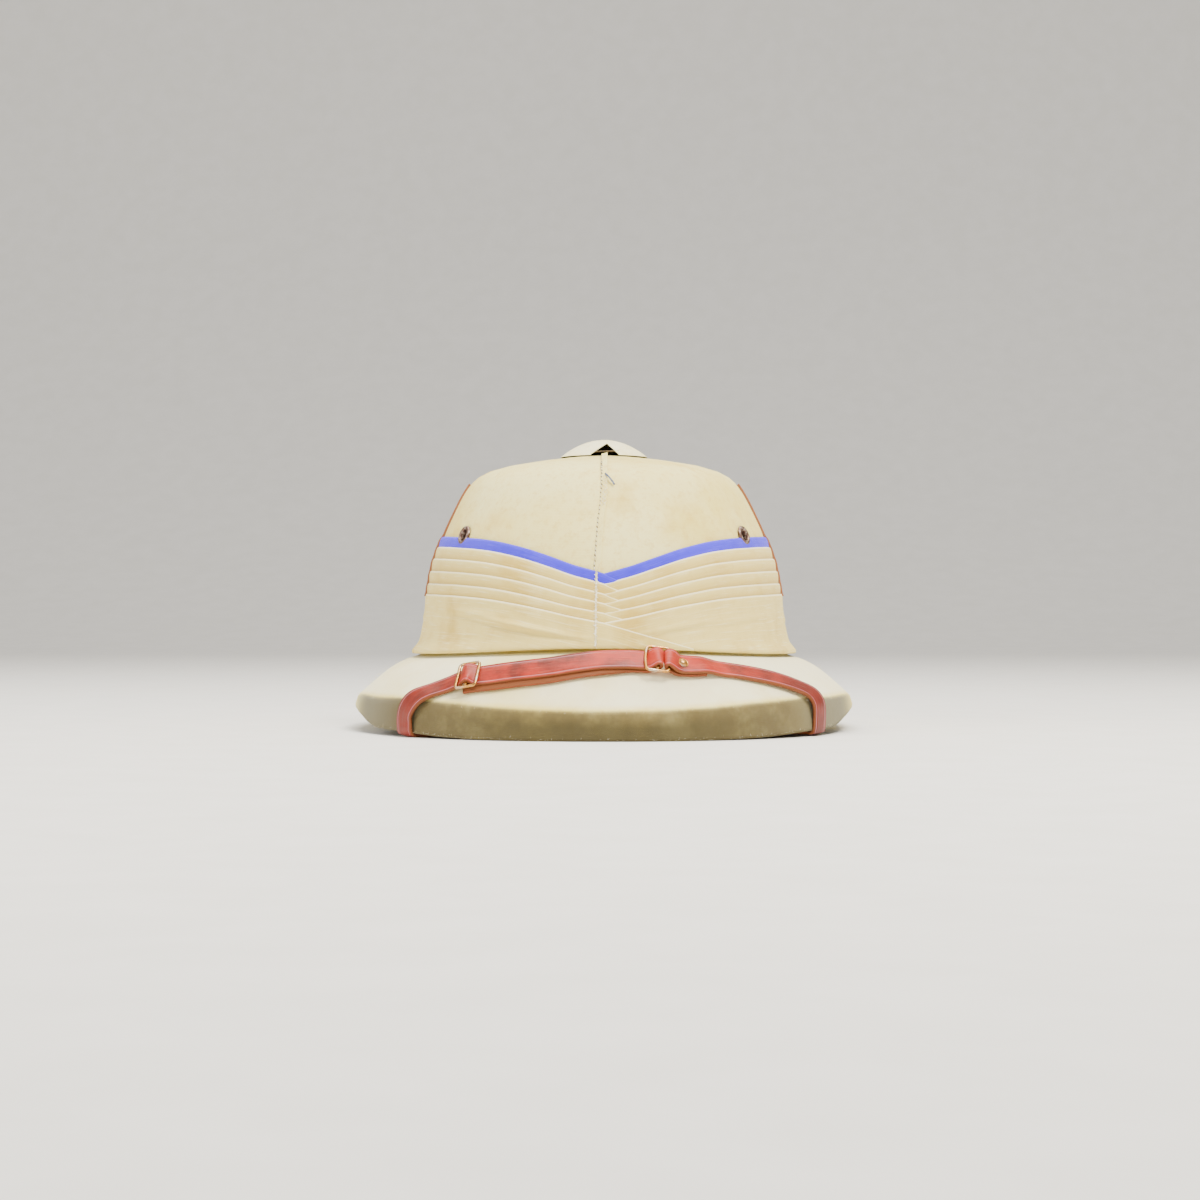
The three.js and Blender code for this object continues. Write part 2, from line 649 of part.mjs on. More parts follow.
// From the rim down round its edge, under the brim and up the inner wall to the anchor
function underBrim(sideSign, routeEnd) {
  const turn = routeEnd.turn * degrees;
  const edge = brimPoint(turn, 1);
  const along = brimPoint(turn + 0.05, 1).sub(brimPoint(turn - 0.05, 1)).normalize();
  const outwards = new THREE.Vector3().crossVectors(along, upwards).normalize();
  const down = new THREE.Vector3().crossVectors(along, outwards).normalize();
  const clear = layGap + strapThickness / 2;
  const rimPlace = (out, fall) => edge.clone().addScaledVector(outwards, out).addScaledVector(down, fall);
  const corner = 0.8 * clear - rimRound / 2;
  const stations = [
    { place: rimPlace(clear, -rimRound), face: outwards.clone() },
    { place: rimPlace(corner, corner), face: outwards.clone().add(down).normalize() },
    { place: rimPlace(-rimRound - clear / 3, clear), face: down.clone() },
    { place: rimPlace(-shellWall - rimRound, clear), face: down.clone() },
  ];
  const anchor = anchorSeat(sideSign);
  const climb = upwards.clone().addScaledVector(anchor.face, -upwards.dot(anchor.face)).normalize();
  const low = anchor.place.clone().addScaledVector(anchor.face, anchorThickness + gap + strapThickness / 2);
  const onWall = (height) => low.clone().addScaledVector(climb, height);
  const from = stations.at(-1);
  const bend = new THREE.CatmullRomCurve3([
    from.place,
    rimPlace(-4 * shellWall, clear - 1),
    from.place.clone().lerp(onWall(-2 * anchorHeight), 0.55),
    onWall(-1.3 * anchorHeight),
    onWall(-0.6 * anchorHeight),
    onWall(anchorHeight / 2),
  ]);
  const steps = 20;
  for (let i = 1; i <= steps; i += 1) {
    const share = i / steps;
    const turned = THREE.MathUtils.smoothstep(share, 0.05, 0.6);
    const face = from.face.clone().lerp(anchor.face, turned).normalize();
    stations.push({ place: bend.getPoint(share), face });
  }
  return stations;
}

// Where an anchor sits on the inner wall
function anchorSeat(sideSign) {
  const turn = sideSign * anchorTurn * degrees;
  const face = crownNormal(turn, anchorRise).negate();
  return { place: crownPoint(turn, anchorRise).addScaledVector(face, shellWall + gap), face };
}

const slideAlong = alongAtTurn(slideTurn);
const ringAlong = alongAtTurn(ringTurn);
const tailAlong = alongAtTurn(tailTurn);
const studAlong = alongAtTurn(studTurn);

// Distances along the route of a frame's outer bars, which stand off the curved brim
const barHeight = secondHeight + loopRadius; // the frames lie over both layers
function outerBar(along, sideSign) {
  const middle = station(along, barHeight).place;
  const reached = station(along + sideSign * barSpacing, barHeight).place.distanceTo(middle);
  return along + (sideSign * barSpacing * barSpacing) / reached;
}
const [slideLow, slideHigh] = [-1, 1].map((sideSign) => outerBar(slideAlong, sideSign));
const [ringLow, ringHigh] = [-1, 1].map((sideSign) => outerBar(ringAlong, sideSign));
const barStep = barSpacing / 5;
const lipRun = 27; // the strap's stretch over the brim's crease and lip
const lipStep = 1.7; // spacing of the stations on that stretch
const layStep = 6; // and where the strap lies flat
const creaseLift = 0.7; // the stiff strap bridges the crease

// Left strap: rim, slide, over to the ring's middle bar, and back beneath itself to the slide
const overHeights = [
  { along: 0, height: layHeight },
  { along: 0.4 * lipRun, height: layHeight + creaseLift },
  { along: 0.9 * lipRun, height: layHeight + creaseLift },
  { along: slideAlong - 3 * barSpacing, height: layHeight },
  { along: slideLow, height: secondHeight - gap },
  { along: slideAlong, height: barHeight + loopRadius },
  { along: slideHigh, height: secondHeight - gap / 2 },
  { along: ringLow, height: secondHeight },
  { along: ringAlong, height: barHeight + loopRadius },
];
const underHeights = [
  { along: slideAlong - loopRadius, height: layHeight },
  { along: ringLow, height: layHeight },
  { along: ringAlong, height: barHeight - loopRadius },
];
const leftStations = [
  ...underBrim(-1, strapRoute[0]).toReversed(),
  ...run(0, lipRun, overHeights, 1, lipStep),
  ...run(lipRun + 4, slideAlong - 3 * barSpacing, overHeights, 1, 4),
  ...run(slideAlong - 2.5 * barSpacing, slideLow - barStep, overHeights, 1, 2.5),
  ...run(slideLow, slideAlong, overHeights, 1, barStep),
  ...run(slideAlong + barStep, slideHigh, overHeights, 1, barStep),
  ...run(slideAlong + 2 * barSpacing, ringAlong - 2 * barSpacing, overHeights, 1, layStep),
  ...run(ringLow, ringAlong, overHeights, 1, barStep),
  ...loopRound(ringAlong, barHeight, 1, -1, 1),
  ...run(ringAlong, ringLow, underHeights, -1, barStep),
  ...run(ringAlong - 2 * barSpacing, slideAlong - loopRadius, underHeights, -1, layStep),
];
addPiece("strap_left", bandSolid(leftStations, strapWidth, strapThickness), tan);

// Right strap: a folded end round the ring's outer bar, then over the brim to the right rim
const rightHeights = [
  { along: ringHigh, height: barHeight + loopRadius },
  { along: tailAlong - 2, height: secondHeight },
  { along: tailAlong + 2 * barSpacing, height: layHeight },
  { along: routeLength - 0.9 * lipRun, height: layHeight + creaseLift },
  { along: routeLength - 0.4 * lipRun, height: layHeight + creaseLift },
  { along: routeLength, height: layHeight },
];
const tailHeights = [
  { along: ringHigh, height: barHeight - loopRadius },
  { along: ringHigh + barSpacing, height: layHeight },
  { along: tailAlong, height: layHeight },
];
const rightStations = [
  ...run(tailAlong, ringHigh + barSpacing, tailHeights, -1, 4),
  ...run(ringHigh + barSpacing - barStep, ringHigh, tailHeights, -1, barStep),
  ...loopRound(ringHigh, barHeight, -1, 1, 1),
  ...run(ringHigh, ringHigh + barSpacing, rightHeights, 1, barStep),
  ...run(ringHigh + 1.5 * barSpacing, tailAlong + 2 * barSpacing, rightHeights, 1, 3),
  ...run(tailAlong + 3 * barSpacing, routeLength - lipRun, rightHeights, 1, 5),
  ...run(routeLength - lipRun + lipStep, routeLength, rightHeights, 1, lipStep),
  ...underBrim(1, strapRoute.at(-1)),
];
addPiece("strap_right", bandSolid(rightStations, strapWidth, strapThickness), tan);

// The slide and the ring: flat three-bar frames
function frameGeometry() {
  const width = 2 * barSpacing + wireWidth;
  const height = strapWidth + 2 * frameMargin;
  const windows = [-1, 1].map((sideSign) => {
    const hole = new THREE.BoxGeometry(barSpacing - wireWidth, height - 2 * wireWidth, 3 * wireThickness);
    return hole.translate((sideSign * barSpacing) / 2, 0, 0);
  });
  return cut(new THREE.BoxGeometry(width, height, wireThickness), windows);
}
function frameAt(along) {
  const before = station(along - barSpacing, barHeight);
  const after = station(along + barSpacing, barHeight);
  const across = after.place.clone().sub(before.place).normalize();
  const place = station(along, barHeight).place;
  const face = before.face.clone().add(after.face).normalize();
  const side = new THREE.Vector3().crossVectors(face, across).normalize();
  return seated(frameGeometry(), place, new THREE.Vector3().crossVectors(across, side), across);
}
addPiece("strap_slide", frameAt(slideAlong), brass);
addPiece("strap_ring", frameAt(ringAlong), brass);

// Stud on the right strap
const studHeight = (along) => smoothValue(rightHeights, "along", "height", along) + strapThickness / 2 + gap;
const studSeat = station(studAlong, studHeight(studAlong));
const studAhead = station(studAlong + studRadius, studHeight(studAlong + studRadius));
const studBehind = station(studAlong - studRadius, studHeight(studAlong - studRadius));
const studAcross = studAhead.place.clone().sub(studBehind.place).normalize();
const studSide = new THREE.Vector3().crossVectors(studSeat.face, studAcross).normalize();
const studFace = new THREE.Vector3().crossVectors(studAcross, studSide);
const studProfile = [
  [0, 0],
  [studRadius, 0],
  [studRadius * 0.9, studRise * 0.45],
  [studRadius * 0.55, studRise * 0.85],
  [0, studRise],
].map(([r, z]) => new THREE.Vector2(r, z));
const studGeometry = new THREE.LatheGeometry(studProfile, 16).rotateX(Math.PI / 2);
addPiece("strap_stud", seated(studGeometry, studSeat.place, studFace, upwards), brass);

// Anchors: plain plates on the inner wall that the strap ends hang from
for (const [name, sideSign] of [["strap_anchor_left", -1], ["strap_anchor_right", 1]]) {
  const seat = anchorSeat(sideSign);
  const plate = new THREE.BoxGeometry(anchorWidth, anchorHeight, anchorThickness);
  const place = seat.place.clone().addScaledVector(seat.face, anchorThickness / 2);
  const across = new THREE.Vector3().crossVectors(upwards, seat.face);
  addPiece(name, seated(plate, place, seat.face, across), brass);
}

export default group;
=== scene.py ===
import math
import random

import bpy
import bmesh
import numpy as np
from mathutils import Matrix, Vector


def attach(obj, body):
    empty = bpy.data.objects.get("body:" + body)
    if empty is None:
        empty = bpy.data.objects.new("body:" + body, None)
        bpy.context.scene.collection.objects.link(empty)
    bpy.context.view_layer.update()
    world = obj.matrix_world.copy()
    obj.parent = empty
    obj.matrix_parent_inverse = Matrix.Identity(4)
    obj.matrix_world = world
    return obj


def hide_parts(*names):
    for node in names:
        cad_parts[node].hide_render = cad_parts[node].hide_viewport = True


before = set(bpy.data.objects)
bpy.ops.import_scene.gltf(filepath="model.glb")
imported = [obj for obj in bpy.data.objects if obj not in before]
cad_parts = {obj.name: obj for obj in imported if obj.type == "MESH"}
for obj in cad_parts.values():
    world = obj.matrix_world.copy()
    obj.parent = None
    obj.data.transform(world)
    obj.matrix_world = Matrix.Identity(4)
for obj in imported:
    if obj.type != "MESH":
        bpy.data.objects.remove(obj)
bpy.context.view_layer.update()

print("frame loaded")


def addObject(name, data):
    made = bpy.data.objects.new(name, data)
    bpy.context.scene.collection.objects.link(made)
    return made


# Camera first: eye level a little above the rim, looking straight at the front
cameraSet = {
    "place": (0, -1.405, 0.07), "sensor": 36, "focalPixels": 2385, "framePixels": 1200, "axisAcross": 604,
    "axisDown": 607, "nearest": 0.05, "farthest": 30,
}


def makeCamera(values):
    data = bpy.data.cameras.new("camera")
    camera = addObject("camera", data)
    frameSize = values["framePixels"]
    data.sensor_width = values["sensor"]
    data.lens = values["sensor"] * values["focalPixels"] / frameSize
    data.shift_x = -(values["axisAcross"] - frameSize / 2) / frameSize
    data.shift_y = (values["axisDown"] - frameSize / 2) / frameSize
    data.clip_start, data.clip_end = values["nearest"], values["farthest"]
    camera.location = values["place"]
    camera.rotation_euler = (math.radians(90), 0, 0)
    bpy.context.scene.camera = camera


makeCamera(cameraSet)

# The helmet's own shape, in millimetres, as in the part's source
crown = {
    "halfWidth": 106, "halfLength": 125, "rise": 116, "wall": 5,
    "section": [(0.9985, 12 / 106), (0.988, 0.349), (0.9655, 0.491), (0.927, 0.627), (0.882, 0.708), (0.803, 0.77),
                (0.703, 0.826), (0.605, 0.875), (0.53, 0.901), (0.435, 0.925), (0.319, 0.938), (0.211, 0.946),
                (0.09, 0.968), (0, 1)],  # rise and reach, from the vent hole down
}
brim = {
    "height": 42.5, "frontLift": 3.5, "sideReach": 38.2, "frontReach": 38, "backReach": 48, "squareness": 2.2,
    "lipShare": 0.035,
    "section": [(0, 0), (0.25, 0.11), (0.5, 0.32), (0.75, 0.64), (1, 1)],  # reach, fall
    "rimLift": [(0, 0), (8, 0), (21, 0.3), (34, 1.1), (48, 3), (58, 3.8), (64, 6.4), (70, 9.9), (76, 12.2), (90, 15),
                (106, 13.6), (122, 8), (142, 3.2), (164, 0), (180, 0)],
    "lipHeight": [(0, 14.8), (8, 15.1), (21, 16.3), (34, 17.8), (48, 17.2), (58, 16.3), (64, 13.8), (70, 10.4),
                  (76, 7.7), (90, 3.8), (106, 5.3), (122, 10.7), (142, 14.8), (164, 15.4), (180, 14.8)],
}
centreY = (brim["frontReach"] - brim["backReach"]) / 2
degree = math.pi / 180


def splineThrough(points, steps):
    p = np.array(points, float)
    t = np.linspace(0, len(p) - 1, steps + 1)
    i = np.minimum(t.astype(int), len(p) - 2)
    w = (t - i)[:, None]
    a, b, c = p[np.maximum(i - 1, 0)], p[i], p[i + 1]
    d = p[np.minimum(i + 2, len(p) - 1)]
    start, end = (c - a) / 2, (d - b) / 2
    return (2 * b - 2 * c + start + end) * w**3 + (3 * c - 3 * b - 2 * start - end) * w**2 + start * w + b


def smoothTable(rows, at):
    x, y = np.array(rows, float).T
    rate = np.diff(y) / np.diff(x)
    slope = np.zeros(len(x))
    for k in range(1, len(x) - 1):
        if rate[k - 1] * rate[k] > 0:
            slope[k] = 2 * rate[k - 1] * rate[k] / (rate[k - 1] + rate[k])
    at = np.clip(np.asarray(at, float), x[0], x[-1])
    i = np.clip(np.searchsorted(x, at) - 1, 0, len(x) - 2)
    span = x[i + 1] - x[i]
    s = (at - x[i]) / span
    ends = y[i] * (1 + 2 * s) * (1 - s) ** 2 + y[i + 1] * s * s * (3 - 2 * s)
    return ends + span * s * (1 - s) * (slope[i] * (1 - s) - slope[i + 1] * s)


crownSamples = splineThrough([(reach, rise) for rise, reach in crown["section"]], 400)
brimSamples = splineThrough(brim["section"], 400)


def smoothstep(low, high, at):
    s = np.clip((np.asarray(at, float) - low) / (high - low), 0, 1)
    return s * s * (3 - 2 * s)


def crownReach(rise):
    return np.interp(1 - rise, 1 - crownSamples[:, 1], crownSamples[:, 0])


def crownRiseAt(reach):
    return np.interp(reach, crownSamples[:, 0], crownSamples[:, 1])


def stack(x, y, z):
    return np.stack(np.broadcast_arrays(x, y, z), -1)


def crownPoint(turn, height):
    reach = crownReach(height / crown["rise"])
    x = crown["halfWidth"] * reach * np.sin(turn)
    y = centreY - crown["halfLength"] * reach * np.cos(turn)
    return stack(x, y, brim["height"] + height)


def jointLift(turn):
    return brim["frontLift"] * np.maximum(0, np.cos(turn)) ** 4


def rimHeights(turn):
    around = np.abs((np.asarray(turn, float) + math.pi) % (2 * math.pi) - math.pi) / degree
    rim = smoothTable(brim["rimLift"], around)
    return rim, rim + smoothTable(brim["lipHeight"], around)


def rimPlan(turn):
    power = 2 / brim["squareness"]
    sine, cosine = np.sin(turn), np.cos(turn)
    length = crown["halfLength"] + np.where(cosine > 0, brim["frontReach"], brim["backReach"])
    x = (crown["halfWidth"] + brim["sideReach"]) * np.sign(sine) * np.abs(sine) ** power
    return x, centreY - length * np.sign(cosine) * np.abs(cosine) ** power


def brimPoint(turn, out):
    turn, out = np.broadcast_arrays(np.asarray(turn, float), np.asarray(out, float))
    joint = crownPoint(turn, jointLift(turn))
    planX, planY = rimPlan(turn)
    rim, crease = rimHeights(turn)
    lipStart = 1 - brim["lipShare"]
    fall = np.interp(out / lipStart, brimSamples[:, 0], brimSamples[:, 1])
    top = joint[..., 2] + (crease - joint[..., 2]) * fall
    lip = crease + (rim - crease) * (out - lipStart) / brim["lipShare"]
    x = joint[..., 0] + (planX - joint[..., 0]) * out
    y = joint[..., 1] + (planY - joint[..., 1]) * out
    return stack(x, y, np.where(out > lipStart, lip, top))


def unit(v):
    v = np.asarray(v, float)
    return v / np.maximum(np.linalg.norm(v, axis=-1, keepdims=True), 1e-12)


def runAlong(points):
    steps = np.linalg.norm(np.diff(np.asarray(points, float), axis=0), axis=1)
    return np.concatenate([[0], np.cumsum(steps)])


def faceOf(surface, turn, value, step):
    across = surface(turn + 0.01, value) - surface(turn - 0.01, value)
    down = surface(turn, value + step) - surface(turn, value - step)
    return unit(-np.cross(across, down))


def crownFace(turn, height):
    return faceOf(crownPoint, turn, np.clip(height, 0.6, None), -0.5)


def brimFace(turn, out):
    return faceOf(brimPoint, turn, out, 0.02)


def overCrown(turn, height, offset):
    turn, height, offset = np.broadcast_arrays(*(np.asarray(v, float) for v in (turn, height, offset)))
    return crownPoint(turn, height) + crownFace(turn, height) * offset[..., None]


def ripple(u, v, seed, count=7):
    draw = random.Random(seed)
    total = 0
    for _ in range(count):
        a, b, c = draw.uniform(-1, 1), draw.uniform(-1, 1), draw.uniform(0, 6.3)
        total = total + np.sin(a * np.asarray(u, float) + b * np.asarray(v, float) + c) * draw.uniform(0.5, 1)
    return total / count


# Meshes
def linkMesh(name, points, faces, uvs=None, smooth=True, sharpAngle=None):
    mesh = bpy.data.meshes.new(name)
    mesh.from_pydata((np.asarray(points) / 1000).tolist(), [], faces)
    if uvs is not None:
        layer = mesh.uv_layers.new(name="lay")
        layer.data.foreach_set("uv", np.asarray(uvs, np.float32).ravel())
    mesh.validate()
    mesh.polygons.foreach_set("use_smooth", [smooth] * len(mesh.polygons))
    if sharpAngle:
        mesh.set_sharp_from_angle(angle=sharpAngle * degree)
    return addObject(name, mesh)


def gridPiece(name, grid, u, v, roundRows=False, roundColumns=True, capEnds=False, sharpAngle=None):
    rows, columns = grid.shape[:2]
    lastRow = rows if roundRows else rows - 1
    lastColumn = columns if roundColumns else columns - 1
    i, j = np.meshgrid(np.arange(lastRow), np.arange(lastColumn), indexing="ij")
    k, l = (i + 1) % rows, (j + 1) % columns
    quads = np.stack([i * columns + j, i * columns + l, k * columns + l, k * columns + j], -1).reshape(-1, 4)
    u, v = np.asarray(u, float), np.asarray(v, float)
    if v.ndim == 1:
        v = np.broadcast_to(v, (lastRow + 1, len(v)))
    if u.ndim == 1:
        u = np.broadcast_to(u[:, None], v.shape)
    low = [u[i, j], v[i, j], u[i, j + 1], v[i, j + 1], u[i + 1, j + 1], v[i + 1, j + 1], u[i + 1, j], v[i + 1, j]]
    uvs = np.stack(low, -1).reshape(-1, 4, 2)
    flat = grid.reshape(-1, 3)
    a, b, c, d = (flat[quads[:, n]] for n in range(4))
    volume = (np.cross(b, c) * a).sum() + (np.cross(c, d) * a).sum()
    faces, corners = quads.tolist(), uvs.reshape(-1, 2)
    if capEnds:
        for row, ends in ((0, list(range(columns))[::-1]), (rows - 1, list(range(columns)))):
            faces.append([row * columns + n for n in ends])
            corners = np.vstack([corners, np.array([[u[min(row, lastRow), 0], v[0, n]] for n in ends])])
    if volume < 0 and roundColumns:
        start, turned, flipped = 0, [], []
        for face in faces:
            flipped.append(face[::-1])
            turned.append(corners[start:start + len(face)][::-1])
            start += len(face)
        faces, corners = flipped, np.vstack(turned)
    return linkMesh(name, flat, faces, corners, sharpAngle=sharpAngle)


def lathePiece(name, profile, place, face, sides=48, sharpAngle=35):
    axis = Vector(face).normalized()
    side = axis.orthogonal().normalized()
    up = axis.cross(side)
    angles = np.linspace(0, 2 * math.pi, sides, endpoint=False)
    grid = []
    for angle in angles:
        ray = side * math.cos(angle) + up * math.sin(angle)
        grid.append([list(Vector(place) + ray * r + axis * z) for r, z in profile])
    grid = np.array(grid)
    run = runAlong(profile + profile[:1])
    return gridPiece(name, grid, np.linspace(0, 40, sides + 1), run, roundRows=True, sharpAngle=sharpAngle)


def weld(piece, distance=1e-6):
    mesh = bmesh.new()
    mesh.from_mesh(piece.data)
    bmesh.ops.remove_doubles(mesh, verts=mesh.verts, dist=distance)
    bmesh.ops.dissolve_degenerate(mesh, edges=mesh.edges, dist=1e-7)
    bmesh.ops.recalc_face_normals(mesh, faces=mesh.faces)
    mesh.to_mesh(piece.data)
    mesh.free()


def bake(piece):
    graph = bpy.context.evaluated_depsgraph_get()
    mesh = bpy.data.meshes.new_from_object(piece.evaluated_get(graph), preserve_all_data_layers=True, depsgraph=graph)
    piece.modifiers.clear()
    old = piece.data
    piece.data = mesh
    bpy.data.meshes.remove(old)
    return piece


def carve(piece, cutters):
    for cutter in cutters:
        modifier = piece.modifiers.new("carve", "BOOLEAN")
        modifier.object = cutter
        modifier.operation = "DIFFERENCE"
        modifier.solver = "EXACT"
    bake(piece)
    for cutter in cutters:
        bpy.data.objects.remove(cutter)


def tubeGrid(path, radius, sides=8, squash=1.0, faces=None):
    path = np.asarray(path, float)
    along = unit(np.gradient(path, axis=0))
    if faces is None:
        faces = np.tile([0.0, 0.0, 1.0], (len(path), 1))
    side = unit(np.cross(faces, along))
    up = np.cross(along, side)
    angles = np.linspace(0, 2 * math.pi, sides, endpoint=False)
    radius = np.broadcast_to(radius, (len(path),))
    ring = side[:, None] * np.cos(angles)[None, :, None] + up[:, None] * np.sin(angles)[None, :, None] * squash
    return path[:, None] + ring * radius[:, None, None]


def tubePiece(name, path, radius, sides=8, squash=1.0, faces=None, closed=False):
    grid = tubeGrid(path, radius, sides, squash, faces)
    run = runAlong(path)
    if closed:
        run = np.append(run, run[-1] + 1)
    across = np.linspace(0, 2 * math.pi * float(np.max(radius)), sides + 1)
    return gridPiece(name, grid, run, across, roundRows=closed, capEnds=not closed)


# Materials
class Socket:
    def __init__(self, tree, socket):
        self.tree = tree
        self.socket = socket

    def maths(self, operation, other=None, swapped=False):
        node = self.tree.nodes.new("ShaderNodeMath")
        node.operation = operation
        pair = [self] if other is None else [other, self] if swapped else [self, other]
        for slot, item in zip(node.inputs, pair):
            feed(self.tree, slot, item)
        return Socket(self.tree, node.outputs[0])

    def __add__(self, other): return self.maths("ADD", other)
    def __sub__(self, other): return self.maths("SUBTRACT", other)
    def __rsub__(self, other): return self.maths("SUBTRACT", other, True)
    def __mul__(self, other): return self.maths("MULTIPLY", other)
    def sine(self): return self.maths("SINE")
    def size(self): return self.maths("ABSOLUTE")


def feed(tree, slot, item):
    if isinstance(item, Socket):
        tree.links.new(item.socket, slot)
    else:
        slot.default_value = item


class Finish:
    def __init__(self, name):
        self.material = bpy.data.materials.new(name)
        self.material.use_nodes = True
        self.tree = self.material.node_tree
        self.shader = self.tree.nodes["Principled BSDF"]

    def node(self, kind, settings, sockets, output=0):
        node = self.tree.nodes.new(kind)
        for key, value in settings.items():
            if key == "stops":
                ramp = node.color_ramp
                while len(ramp.elements) < len(value):
                    ramp.elements.new(0.5)
                for stop, (place, colour) in zip(ramp.elements, value):
                    stop.position = place
                    stop.color = colour
            else:
                setattr(node, key, value)
        for key, value in sockets.items():
            feed(self.tree, node.inputs[key], value)
        return Socket(self.tree, node.outputs[output])

    def place(self):
        return self.node("ShaderNodeTexCoord", {}, {}, "Object")

    def lay(self):
        uv = self.node("ShaderNodeUVMap", {"uv_map": "lay"}, {})
        return [uv] + self.apart(uv)[:2]

    def apart(self, vector):
        parts = self.tree.nodes.new("ShaderNodeSeparateXYZ")
        feed(self.tree, parts.inputs[0], vector)
        return [Socket(self.tree, output) for output in parts.outputs]

    def noise(self, vector, scale, detail=3.0, rough=0.55):
        return self.node("ShaderNodeTexNoise", {"noise_dimensions": "3D"},
                         {"Vector": vector, "Scale": scale, "Detail": detail, "Roughness": rough})

    def between(self, value, low, high, first=0.0, last=1.0):
        return self.node("ShaderNodeMapRange", {"interpolation_type": "SMOOTHSTEP"},
                         {"Value": value, "From Min": low, "From Max": high, "To Min": first, "To Max": last})

    def blend(self, share, first, second, way="MIX"):
        return self.node("ShaderNodeMix", {"data_type": "RGBA", "blend_type": way},
                         {0: share, 6: first, 7: second}, 2)

    def bump(self, height, distance, strength=1.0, below=None):
        sockets = {"Height": height, "Distance": distance, "Strength": strength}
        if below is not None:
            sockets["Normal"] = below
        return self.node("ShaderNodeBump", {}, sockets)

    def done(self, **sockets):
        for key, value in sockets.items():
            feed(self.tree, self.shader.inputs[key.replace("_", " ")], value)
        return self.material


def tone(red, green, blue):
    def linear(value):
        value /= 255
        return value / 12.92 if value < 0.04045 else ((value + 0.055) / 1.055) ** 2.4
    return (linear(red), linear(green), linear(blue), 1.0)


# The darker tones also paint shade on the lip, at the joint and in the vent's hollow; the sunlit tone paints light on
# the brim's top.
drillLook = {
    "base": tone(240, 219, 120), "pale": tone(249, 237, 164), "yellow": tone(222, 186, 78), "soilAndShade": tone(96, 82, 46),
    "olive": tone(68, 60, 32), "corner": tone(104, 99, 76), "sunlit": tone(254, 249, 218), "threadGap": 0.62,
    "roughness": 0.92,
}
clothGloss = {"Sheen_Weight": 0.12, "Specular_IOR_Level": 0.25}
# Marks on the shell: soiling, painted shade and painted light. The cloth's second coordinate runs 0 at the vent,
# 100 at the joint, 200 at the crease and 215 at the rim, and its first in mm from the front. Each range says where a
# mark starts and where it ends.
marks = {
    "patchShift": 1.6, "lip": (196.9, 202.2), "left": (-124.0, -86.0), "right": (76.0, 112.0, 1.0, 0.0),
    "patch": (0.3, 0.6, 0.8, 0.97), "lowShift": 5.0, "lowLip": (202.5, 211.0), "lowMiddle": (12.0, 92.0, 1.0, 0.25),
    "lowShare": 0.85, "cornerOuter": (165.0, 125.0), "cornerInner": (60.0, 100.0), "cornerShare": 0.95,
    "brimInner": (101.0, 110.0), "brimOuter": (199.0, 190.0), "brimCloud": (0.3, 0.6, 0.35, 0.75),
    "joint": 101.0, "shadow": (0.0, 2.2, 1.0, 0.0), "shadowShare": 0.4,
    "ventReachSquared": (0.0006, 0.00055), "ventHeight": (0.15, 0.153), "capInside": (34.0, 38.0), "hollowShade": 0.9,
}


def shellSoilAndShade(finish, colour, values, around, down, spot, cloud):
    patch = finish.noise(spot, 38.0, 4.0, 0.62)
    lip = finish.between(down + patch * marks["patchShift"], *marks["lip"])
    # painted shade: the lip's corners beyond the straps are darkened towards the corner tone
    corner = finish.between(around.size(), *marks["cornerOuter"]) * finish.between(around.size(), *marks["cornerInner"])
    colour = finish.blend(lip * corner * marks["cornerShare"], colour, values["corner"])
    # the front of the lip is soiled and also darkened as painted shade; lower down it goes olive
    front = lip * finish.between(around, *marks["left"]) * finish.between(around, *marks["right"])
    colour = finish.blend(front * finish.between(patch, *marks["patch"]), colour, values["soilAndShade"])
    low = finish.between(down + patch * marks["lowShift"], *marks["lowLip"])
    middle = finish.between(around.size(), *marks["lowMiddle"])
    colour = finish.blend(front * low * middle * marks["lowShare"], colour, values["olive"])
    # painted light: the brim's top is paled towards the sunlit tone in patches
    bright = finish.between(down, *marks["brimInner"]) * finish.between(down, *marks["brimOuter"])
    colour = finish.blend(bright * finish.between(cloud, *marks["brimCloud"]), colour, values["sunlit"])
    # painted shadow along the joint where the band meets the brim
    shadow = finish.between((down - marks["joint"]).size(), *marks["shadow"])
    colour = finish.blend(shadow * marks["shadowShare"], colour, values["soilAndShade"])
    # painted shade in the hollow below the vent's cap
    east, north, up = finish.apart(spot)
    aside = north - centreY / 1000
    under = finish.between(east * east + aside * aside, *marks["ventReachSquared"])
    return finish.blend(under * finish.between(up, *marks["ventHeight"]) * marks["hollowShade"], colour, values["olive"])


